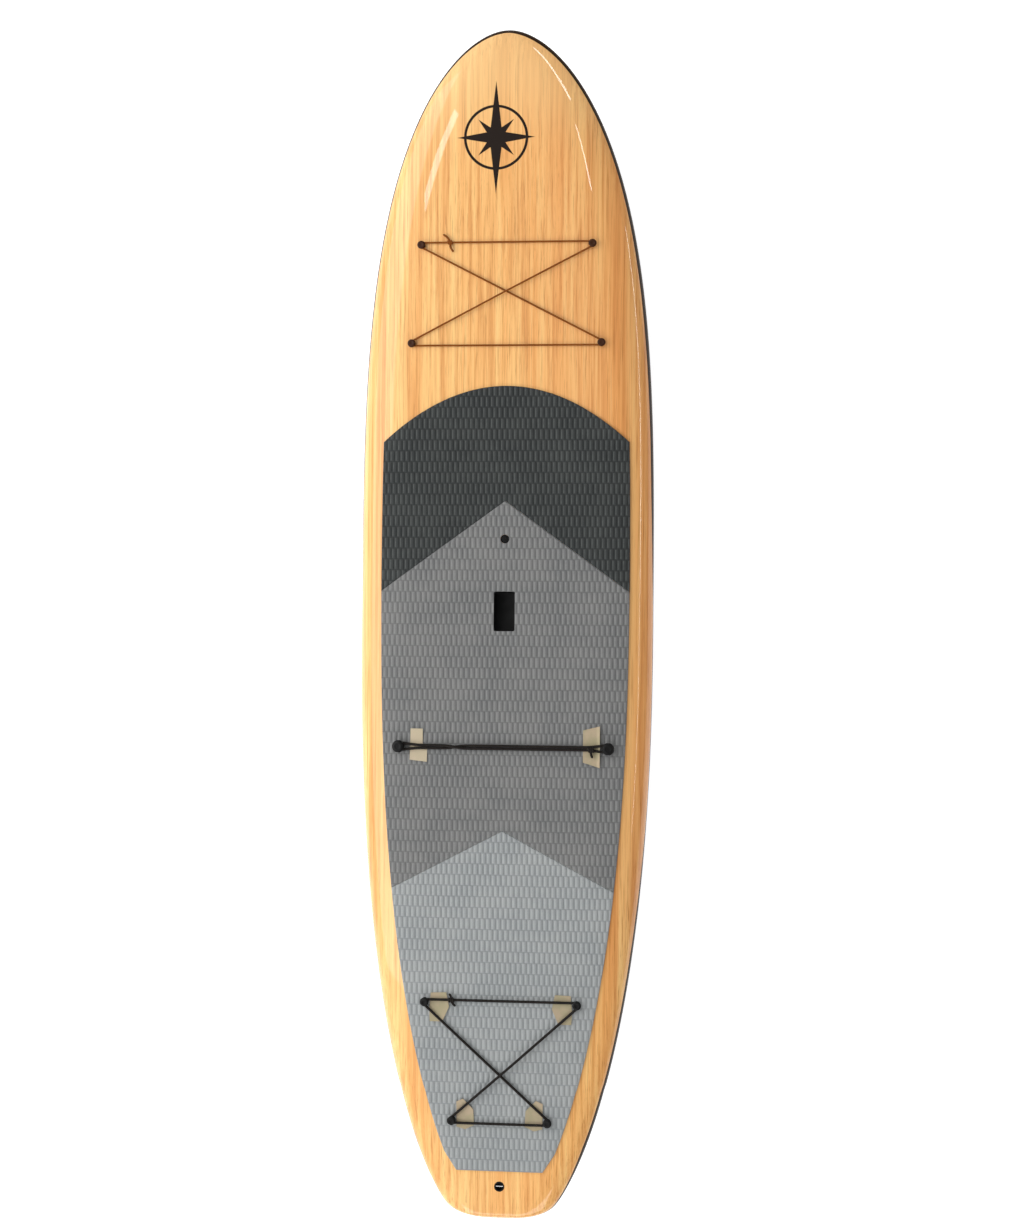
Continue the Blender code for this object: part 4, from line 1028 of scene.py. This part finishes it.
def laced_route(pairs, cord, neck, seat, low, rise):
    """The CAD's closed lacing round the four necks, with more points."""
    radius = neck + cord + GAP
    (fore, fore_y), (aft, aft_y) = pairs
    corners = ((-fore, fore_y, 1), (aft, aft_y, -1), (-aft, aft_y, -1), (fore, fore_y, 1))
    necks = [((deck_frame(x, y) @ Vector((0, 0, seat))).to_2d(), turn) for x, y, turn in corners]
    legs = []
    for k in range(4):
        (start, before), (end, after) = necks[k], necks[(k + 1) % 4]
        legs.append(tangent_offsets(start, end, before, after, radius))
    middle = {0: low, 2: low + rise}
    route = []
    for k, (leave, meet) in enumerate(legs):
        for step in range(LEG_STEPS + 1):
            share = step / LEG_STEPS
            p = leave.lerp(meet, share)
            if k in middle:
                peak = min(1, (1 - abs(2 * share - 1)) * 1.08)
                over = seat + (middle[k] - seat) * peak
            else:
                over = seat + (low - seat) * min(1, 4 * share * (1 - share))
            route.append((p.x, p.y, float(deck_height(p.x, p.y)) + over))
        centre, turn = necks[(k + 1) % 4]
        first = math.atan2(*(meet - centre).yx)
        last = math.atan2(*(legs[(k + 1) % 4][0] - centre).yx)
        sweep = (last - first) * turn % TURN * turn
        for step in range(1, BEND_STEPS):
            angle = first + sweep * step / BEND_STEPS
            p = centre + radius * Vector((math.cos(angle), math.sin(angle)))
            route.append((p.x, p.y, float(deck_height(p.x, p.y)) + seat))
    return np.array(route)


def strap_route(twist_x, twist_length):
    """The doubled cord's closed loop round both knobs, with half a twist."""
    half, y = KNOB_PAIR
    wrap = BUTTONS["strap"][3] + STRAP_CORD + GAP
    beside = STRAP_CORD + GAP
    seat = BUTTONS["strap"][2] + STRAP_CORD + 0.0012
    ends = half - wrap * 1.2
    strands = []
    for sign in (1, -1):
        x = np.linspace(-ends, ends, 181)
        turn = smooth((x - twist_x) / twist_length + 0.5, 0, 1)
        near_knob = np.clip(1 - (ends - np.abs(x)) / 0.05, 0, None)
        spread = beside + (wrap * 0.9 - beside) * near_knob**1.5
        lift = seat + 0.0020 * np.sin(math.pi * turn)
        across = sign * spread * np.cos(math.pi * turn)
        up = sign * beside * np.sin(math.pi * turn)
        strands.append(np.stack([x, y + across, deck_height(x, y) + lift + up], 1))

    def around(x, first, last):
        place = deck_frame(x, y)
        made = []
        for k in range(25):
            angle = math.radians(first + (last - first) * k / 24)
            made.append(tuple(place @ Vector((wrap * math.cos(angle), wrap * math.sin(angle), seat))))
        return np.array(made)

    forth, back = strands
    return np.concatenate([forth, around(half, -90, 90), back[::-1], around(-half, 270, 90)])


def resampled(route, closed):
    """Points at even distances along a route, eased a little at its corners."""
    path = np.vstack([route, route[:1]]) if closed else route
    steps = np.linalg.norm(np.diff(path, axis=0), axis=1)
    keep = np.concatenate([[True], steps > 1e-6])
    path = path[keep]
    at = np.concatenate([[0], np.cumsum(np.linalg.norm(np.diff(path, axis=0), axis=1))])
    count = max(4, int(round(at[-1] / CORD_STEP)))
    want = np.linspace(0, at[-1], count, endpoint=not closed)
    made = np.stack([np.interp(want, at, path[:, k]) for k in range(3)], 1)
    for _ in range(3):
        if closed:
            made = (np.roll(made, 1, 0) + 2 * made + np.roll(made, -1, 0)) / 4
        else:
            made[1:-1] = (made[:-2] + 2 * made[1:-1] + made[2:]) / 4
    return made, at[-1]


def cord_parts(route, radius, closed=True):
    """Points, faces and lengthwise marks of a braided cord along a route."""
    path, length = resampled(np.asarray(route, float), closed)
    rows = len(path)
    if closed:
        along = np.roll(path, -1, 0) - np.roll(path, 1, 0)
    else:
        along = np.gradient(path, axis=0)
    along /= np.linalg.norm(along, axis=1)[:, None]
    across = np.cross(along, (0, 0, 1.0))
    across /= np.linalg.norm(across, axis=1)[:, None]
    up = np.cross(across, along)
    gone = np.linspace(0, length, rows, endpoint=not closed)[:, None]
    turned = (np.arange(CORD_SIDES) / CORD_SIDES)[None, :]
    pitch = length / max(1, round(length / BRAID_PITCH))
    weave = np.sin(TURN * (gone / pitch + 4 * turned)) * np.sin(TURN * (gone / pitch - 4 * turned))
    thick = radius * (1 + 0.035 * weave)
    if not closed:
        ends = np.minimum(gone, length - gone) / radius
        thick = thick * np.sqrt(np.clip(1 - (1 - np.clip(ends, 0.08, 1)) ** 2, 0.02, 1))
    points = (
        path[:, None] + (thick * np.cos(TURN * turned))[..., None] * across[:, None]
        + (thick * np.sin(TURN * turned))[..., None] * up[:, None]
    )
    faces = grid_faces(rows, CORD_SIDES, True)
    if closed:
        last = (rows - 1) * CORD_SIDES
        for c in range(CORD_SIDES):
            n = (c + 1) % CORD_SIDES
            faces.append((last + c, last + n, n, c))
    else:
        faces.append(tuple(range(CORD_SIDES)))
        faces.append(tuple(range((rows - 1) * CORD_SIDES, rows * CORD_SIDES)))
    marks = (np.broadcast_to(gone, thick.shape).ravel(), np.broadcast_to(turned, thick.shape).ravel())
    return points.reshape(-1, 3), faces, marks


def cord_piece(name, parts, node, browner=0.0):
    """One object of one or more lengths of cord: the laced loop, its knot and its tails."""
    points, faces, along, around = [], [], [], []
    for more_points, more_faces, (a, b) in parts:
        start = sum(len(p) for p in points)
        points.append(more_points)
        faces += [tuple(k + start for k in face) for face in more_faces]
        along.append(a)
        around.append(b)
    mesh = solid(np.concatenate(points), faces)
    mark(mesh, "along", np.concatenate(along))
    mark(mesh, "around", np.concatenate(around))
    mark(mesh, "browner", browner)
    return add_piece(name, mesh, "shock_cord", node, sharp=0)


def knot_parts(centre, cord, tails):
    """Turns of cord round the standing part, with cut ends."""
    turns = np.linspace(0, 2.6 * TURN, 70)
    reach = np.linspace(-1.5, 1.5, 70) * cord * 1.25
    coil = np.column_stack([reach, 1.35 * cord * np.cos(turns), 1.05 * cord * np.sin(turns)])
    parts = [cord_parts(centre + coil, cord * 0.92, False)]
    t = np.linspace(0, 1, 12)[:, None]
    for end in tails:
        bend = np.array((end[1], -end[0], 0.0)) * 0.12
        route = centre + t * np.array(end) + np.sin(math.pi * t) * bend
        parts.append(cord_parts(route, cord * 0.9, False))
    return parts


def bungee(kind, pairs, cord, drawn, clear, low, tie_x, tails, browner=0.0):
    """A loop laced round four buttons as an X with two bars, knotted on its front bar."""
    seat, neck = BUTTONS[kind][2] + cord + clear, BUTTONS[kind][3]
    low = low or seat
    parts = [cord_parts(laced_route(pairs, cord, neck, seat, low, 2 * cord + 0.0006), drawn)]
    y = pairs[0][1] + neck + cord + GAP
    parts += knot_parts((tie_x, y, float(deck_height(tie_x, y)) + low + 0.0012), cord, tails)
    cord_piece(kind + "_shock_cord", parts, kind + "_bungee", browner)


def build_cords():
    tails = ((-0.019, 0.021, 0.002), (0.010, -0.026, 0.002))
    low, drawn = FRONT_CORD + 0.0008, FRONT_DRAWN * FRONT_CORD
    bungee("front", FRONT_PAIRS, FRONT_CORD, drawn, 0.0006, low, -0.153, tails, 1.0)
    tails = ((-0.006, 0.017, 0.001), (0.012, -0.016, 0.001))
    bungee("rear", REAR_PAIRS, REAR_CORD, REAR_CORD, 0.0010, None, -0.132, tails)

    parts = [cord_parts(strap_route(-0.129, 0.10), STRAP_CORD)]
    x, y = 0.237, KNOB_PAIR[1] - STRAP_CORD
    seat = BUTTONS["strap"][2] + STRAP_CORD + 0.0012
    centre = (x, y, float(deck_height(x, y)) + seat + 0.0022)
    parts += knot_parts(centre, STRAP_CORD, ((0.004, -0.021, 0.0),))
    cord_piece("doubled_cord", parts, "cross_strap")


# ---- cards

CARD, CARD_LIFT = 0.0009, 0.0004
CARD_MESH = 0.003  # between the points inside a card
# a card's corners in plan: from x = 0 and the strap's knobs, or from a rear button towards the middle
STRAP_LEFT = (
    (-0.250, 0.048), (-0.217, 0.048), (-0.217, 0.004),
    (-0.205, 0.0), (-0.205, -0.041), (-0.252, -0.036),
)
STRAP_RIGHT = ((0.215, 0.049), (0.260, 0.060), (0.260, -0.051), (0.215, -0.037))
REAR_FORE = (
    (0.016, 0.024), (0.058, 0.026), (0.066, -0.012),
    (0.048, -0.052), (0.014, -0.052), (0.012, -0.020),
)
REAR_AFT = (
    (0.012, 0.050), (0.030, 0.058), (0.058, 0.030),
    (0.060, -0.012), (0.036, -0.024), (0.013, -0.018),
)


def card_piece(name, node, outline, curl, paler=0.0):
    """A thin card from its plan corners; curl gives the height over the pad at a point."""
    fine = []
    for (x0, y0), (x1, y1) in zip(outline, outline[1:] + outline[:1]):
        fine += [Vector((x0 + (x1 - x0) * t, y0 + (y1 - y0) * t)) for t in np.arange(8) / 8]
    xs, ys = [p.x for p in fine], [p.y for p in fine]
    rim = [(k, (k + 1) % len(fine)) for k in range(len(fine))]
    along = np.arange(min(ys), max(ys), CARD_MESH)
    inner = [Vector((x, y)) for x in np.arange(min(xs), max(xs), CARD_MESH) for y in along]
    filled = delaunay_2d_cdt(fine + inner, rim, [], 1, 1e-6)
    xs, ys = np.array([tuple(p) for p in filled[0]]).T
    height = deck_height(xs, ys) + PAD_LIFT + PAD + CARD_LIFT + curl(xs, ys)
    points = np.concatenate([np.column_stack([xs, ys, height + rise]) for rise in (0, CARD)])
    uses = {}
    for tri in filled[2]:
        for a, b in zip(tri, tri[1:] + tri[:1]):
            key = (min(a, b), max(a, b))
            uses[key] = uses.get(key, 0) + 1
    count = len(xs)
    faces = [tuple(tri) for tri in filled[2]] + [tuple(k + count for k in tri) for tri in filled[2]]
    faces += [(a, b, b + count, a + count) for (a, b), n in uses.items() if n == 1]
    mesh = solid(points, faces)
    mark(mesh, "paler", paler)
    add_piece(name, mesh, "card", node, sharp=30)


def build_cards():
    y0 = KNOB_PAIR[1]

    def strap_curl(x, y):
        return 0.0030 * smooth(np.abs(y - y0), 0.012, 0.050)

    def edge_curl(x, y):
        return strap_curl(x, y) + 0.0045 * smooth(x, 0.252, 0.260)

    left, right = ([(x, y0 + dy) for x, dy in corners] for corners in (STRAP_LEFT, STRAP_RIGHT))
    card_piece("packing_card_left", "card_strap_left", left, strap_curl, 0.8)
    card_piece("packing_card_right", "card_strap_right", right, edge_curl)
    for side, sign in (("left", -1), ("right", 1)):
        for where, (half, row), corners in zip(("fore", "aft"), REAR_PAIRS, (REAR_FORE, REAR_AFT)):
            outline = [(sign * (half - dx), row + dy) for dx, dy in corners]

            def curl(x, y, cx=sign * (half - 0.02), cy=row):
                return 0.0034 * smooth(np.hypot(x - cx, y - cy), 0.020, 0.060)

            card_piece(f"packing_card_{where}_{side}", f"card_rear_{where}_{side}", outline, curl)


# ---- fin and box


def bezier(start, pull, end, share):
    return start.lerp(pull, share).lerp(pull.lerp(end, share), share)


def fin_mesh():
    """A foiled, raked blade on its tab, with the tongue that the screw holds."""
    front = FIN_TAB[1] / 2 + 0.004
    back = front - FIN_CHORD
    tip = Vector((back - 0.045, -FIN_REACH))
    lead_pull, trail_pull = Vector((front - 0.045, -0.115)), Vector((back + 0.022, -0.110))
    root_lead, root_trail = Vector((front, -0.0012)), Vector((back, -0.0012))
    levels, around = 28, 36
    points = []
    for level in range(levels):
        t = math.sin(level / levels * math.pi / 2)
        lead = bezier(root_lead, lead_pull, tip, t)
        trail = bezier(root_trail, trail_pull, tip, t)
        thick = FIN_THICK / 2 * (1 - 0.62 * t) * (1 - t**8) ** 0.5
        for k in range(around):
            share = (1 - math.cos(TURN * k / around)) / 2
            foil = 2.6 * math.sqrt(share) * (1 - share) + 0.06 * math.sin(math.pi * share)
            side = 1 if k < around / 2 else -1
            p = lead.lerp(trail, share)
            points.append((side * thick * min(1, foil), p.x, p.y))
    last, top = len(points), len(points) - around
    points.append((0, tip.x, tip.y))
    faces = [tuple(range(around))] + grid_faces(levels, around, True)
    faces += [(top + k, top + (k + 1) % around, last) for k in range(around)]
    blade = solid(points, faces)
    half, length, high = FIN_TAB[0] / 2, FIN_TAB[1], FIN_TAB[2]
    tab = box_mesh((-half, -length / 2, -0.003), (half, length / 2, high), 0.0010, segments=2)
    low, high = (-half, length / 2 - 0.01, 0.0005), (half, length / 2 + 0.018, 0.0045)
    blade = carve(blade, [tab, box_mesh(low, high, 0.0006, segments=2)], "UNION")
    screw_hole, pin_hole = plug(0.0024, 0.02, segments=24), plug(PIN_HOLE, 0.01, 0.01, 24)
    return carve(blade, [(screw_hole, screw_spot()), (pin_hole, pin_spot())])


def screw_spot():
    return Matrix.Translation((0, FIN_TAB[1] / 2 + 0.0112, 0))


def pin_spot():
    middle = (FIN_GROOVE[1] + FIN_GROOVE[2]) / 2
    return Matrix.Translation((0, -FIN_TAB[1] / 2 + 0.012, middle)) @ Matrix.Rotation(math.pi / 2, 4, "Y")


def build_fin():
    place = fin_frame()
    flange = upright_box(FIN_BOX, -FIN_FLANGE_PROUD, FIN_FLANGE, 0.0078)
    body = (2 * FIN_BODY_HALF, FIN_BOX[1] - 2 * FIN_BODY_INSET)
    box = carve(flange, [upright_box(body, FIN_FLANGE - 0.001, FIN_BOX[2], 0.004)], "UNION")
    wide, low, high = FIN_GROOVE
    box = carve(box, [
        upright_box(FIN_SLOT, -0.01, FIN_SLOT[2], 0.0046),
        upright_box((wide, FIN_SLOT[1] - 0.004), low, high),
        upright_box((wide, 0.016), -0.01, high - 0.001, 0.002),
    ])
    add_piece("fin_housing", box, "black_plastic", "fin_box", place=place)
    add_piece("fin_blade", fin_mesh(), "fin", "centre_fin", "fin", place)
    add_piece("fin_cross_pin", pin_mesh(wide / 2 - 0.0004), "steel", "fin_pin", "fin", place @ pin_spot())
    place = place @ screw_spot()
    screw = (
        (0, -0.0025), (0.0030, -0.0025), (0.0042, -0.0016), (0.0042, 0.0002),
        (0.0020, 0.0002), (0.0020, 0.0160), (0, 0.0160),
    )
    slot = box_mesh((-0.0050, -0.0006, -0.0040), (0.0050, 0.0006, -0.0012))
    mesh = carve(lathe(eased(screw, 0.0004), 40), [slot])
    add_piece("fin_set_screw", mesh, "steel", "fin_screw", "fin_screw", place)
    half = wide / 2 - 0.0005
    plate = box_mesh((-half, -0.0065, 0.0065), (half, 0.0065, 0.0095), 0.0005, segments=2)
    mesh = carve(plate, [plug(PIN_RADIUS + GAP, 0.02, segments=32)])
    add_piece("fin_nut_plate", mesh, "steel", "fin_plate", "fin_plate", place)


# ---- studio


def lamp(name, start, end, width, aim, radiance):
    """A soft light, a band from start to end; its strength is what a mirror would show of it."""
    start, end, aim = Vector(start), Vector(end), Vector(aim)
    middle, along = (start + end) / 2, (end - start).normalized()
    back = middle - aim
    back = (back - back.dot(along) * along).normalized()
    data = bpy.data.lights.new(name, "AREA")
    data.shape, data.size, data.size_y = "RECTANGLE", width, (end - start).length
    data.energy = radiance * math.pi * data.size * data.size_y
    axes = Matrix((along.cross(back), along, back)).transposed()
    shown(name, data, Matrix.Translation(middle) @ axes.to_4x4())


def build_floor():
    low = CAD_BOX[0][2]
    p = Paint("floor_pale", Roughness=0.9, Emission_Color=(1, 1, 1), Emission_Strength=0.80,
              Specular_IOR_Level=0.0)
    p.set(Base_Color=p.mix(p.noise(p.coords(), 2.0, 2.0), (0.61,) * 3, (0.63,) * 3))
    floor = shown("floor", box_mesh((-30, -30, low - 0.08), (30, 30, low - 0.03)))
    floor.data.materials.append(p.mat)


def build_world():
    """A soft sky, brighter on the left than on the right; the camera sees it plain white."""
    world = bpy.data.worlds.new("studio")
    world.use_nodes = True
    tree = world.node_tree
    sky, plain = Nodes(tree), tree.nodes["Background"]
    x = sky.axes(sky.new("TexCoord", "Generated", {}))[0]
    slope = sky.fade(x, -0.45, 0.30, 1.02, 0.22)
    lit = sky.new("Background", "Background", {"Color": (1, 1, 1), "Strength": slope})
    plain.inputs["Color"].default_value = (1, 1, 1, 1)
    seen = sky.new("LightPath", "Is Camera Ray", {})
    mixed = sky.new("MixShader", "Shader", {"Fac": seen, 1: lit, 2: plain.outputs["Background"]})
    tree.links.new(mixed, tree.nodes["World Output"].inputs["Surface"])
    bpy.context.scene.world = world


def build_lights():
    middle = (0, 0, 0.1)
    lamp("key", (-2.5, -1.7, 2.3), (-2.5, 3.4, 2.3), 2.1, middle, 2.1)
    lamp("fill", (-1.5, -4.2, 2.6), (1.7, -4.2, 2.6), 1.8, middle, 2.9)
    lamp("strip_right", (4.6, -1.4, 4.5), (4.6, 2.6, 2.5), 0.20, middle, 8.0)
    lamp("strip_nose", (0.75, 5.4, 4.9), (1.62, 3.35, 4.9), 0.24, (0.15, 1.4, 0.15), 12.0)
    lamp("strip_shoulder", (1.20, 2.70, 4.9), (1.05, 2.05, 4.9), 0.08, (0.2, 1.25, 0.15), 12.0)
    lamp("window_left", (-1.40, 2.64, 4.9), (-1.82, 1.95, 4.9), 0.36, (-0.18, 1.27, 0.15), 6.5)


def build_camera():
    eye, aim = Vector((0.5106, -0.0359, 5.1921)), Vector((0.0179, 0.0392, 0.1))
    roll = 0.0089
    forward = (aim - eye).normalized()
    right = forward.cross(Vector((0, 1, 0))).normalized()
    up = right.cross(forward)
    right, up = right * math.cos(roll) + up * math.sin(roll), up * math.cos(roll) - right * math.sin(roll)
    data = bpy.data.cameras.new("camera")
    data.sensor_width, data.lens = 36.0, 56.05
    axes = Matrix((right, up, -forward)).transposed()
    bpy.context.scene.camera = shown("camera", data, Matrix.Translation(eye) @ axes.to_4x4())
    bpy.context.scene.view_settings.view_transform = "Standard"


build_hull()
build_pads()
build_buttons()
build_vent()
build_leash_plug()
build_handle()
build_cords()
build_cards()
build_fin()
build_floor()
build_world()
build_lights()
build_camera()
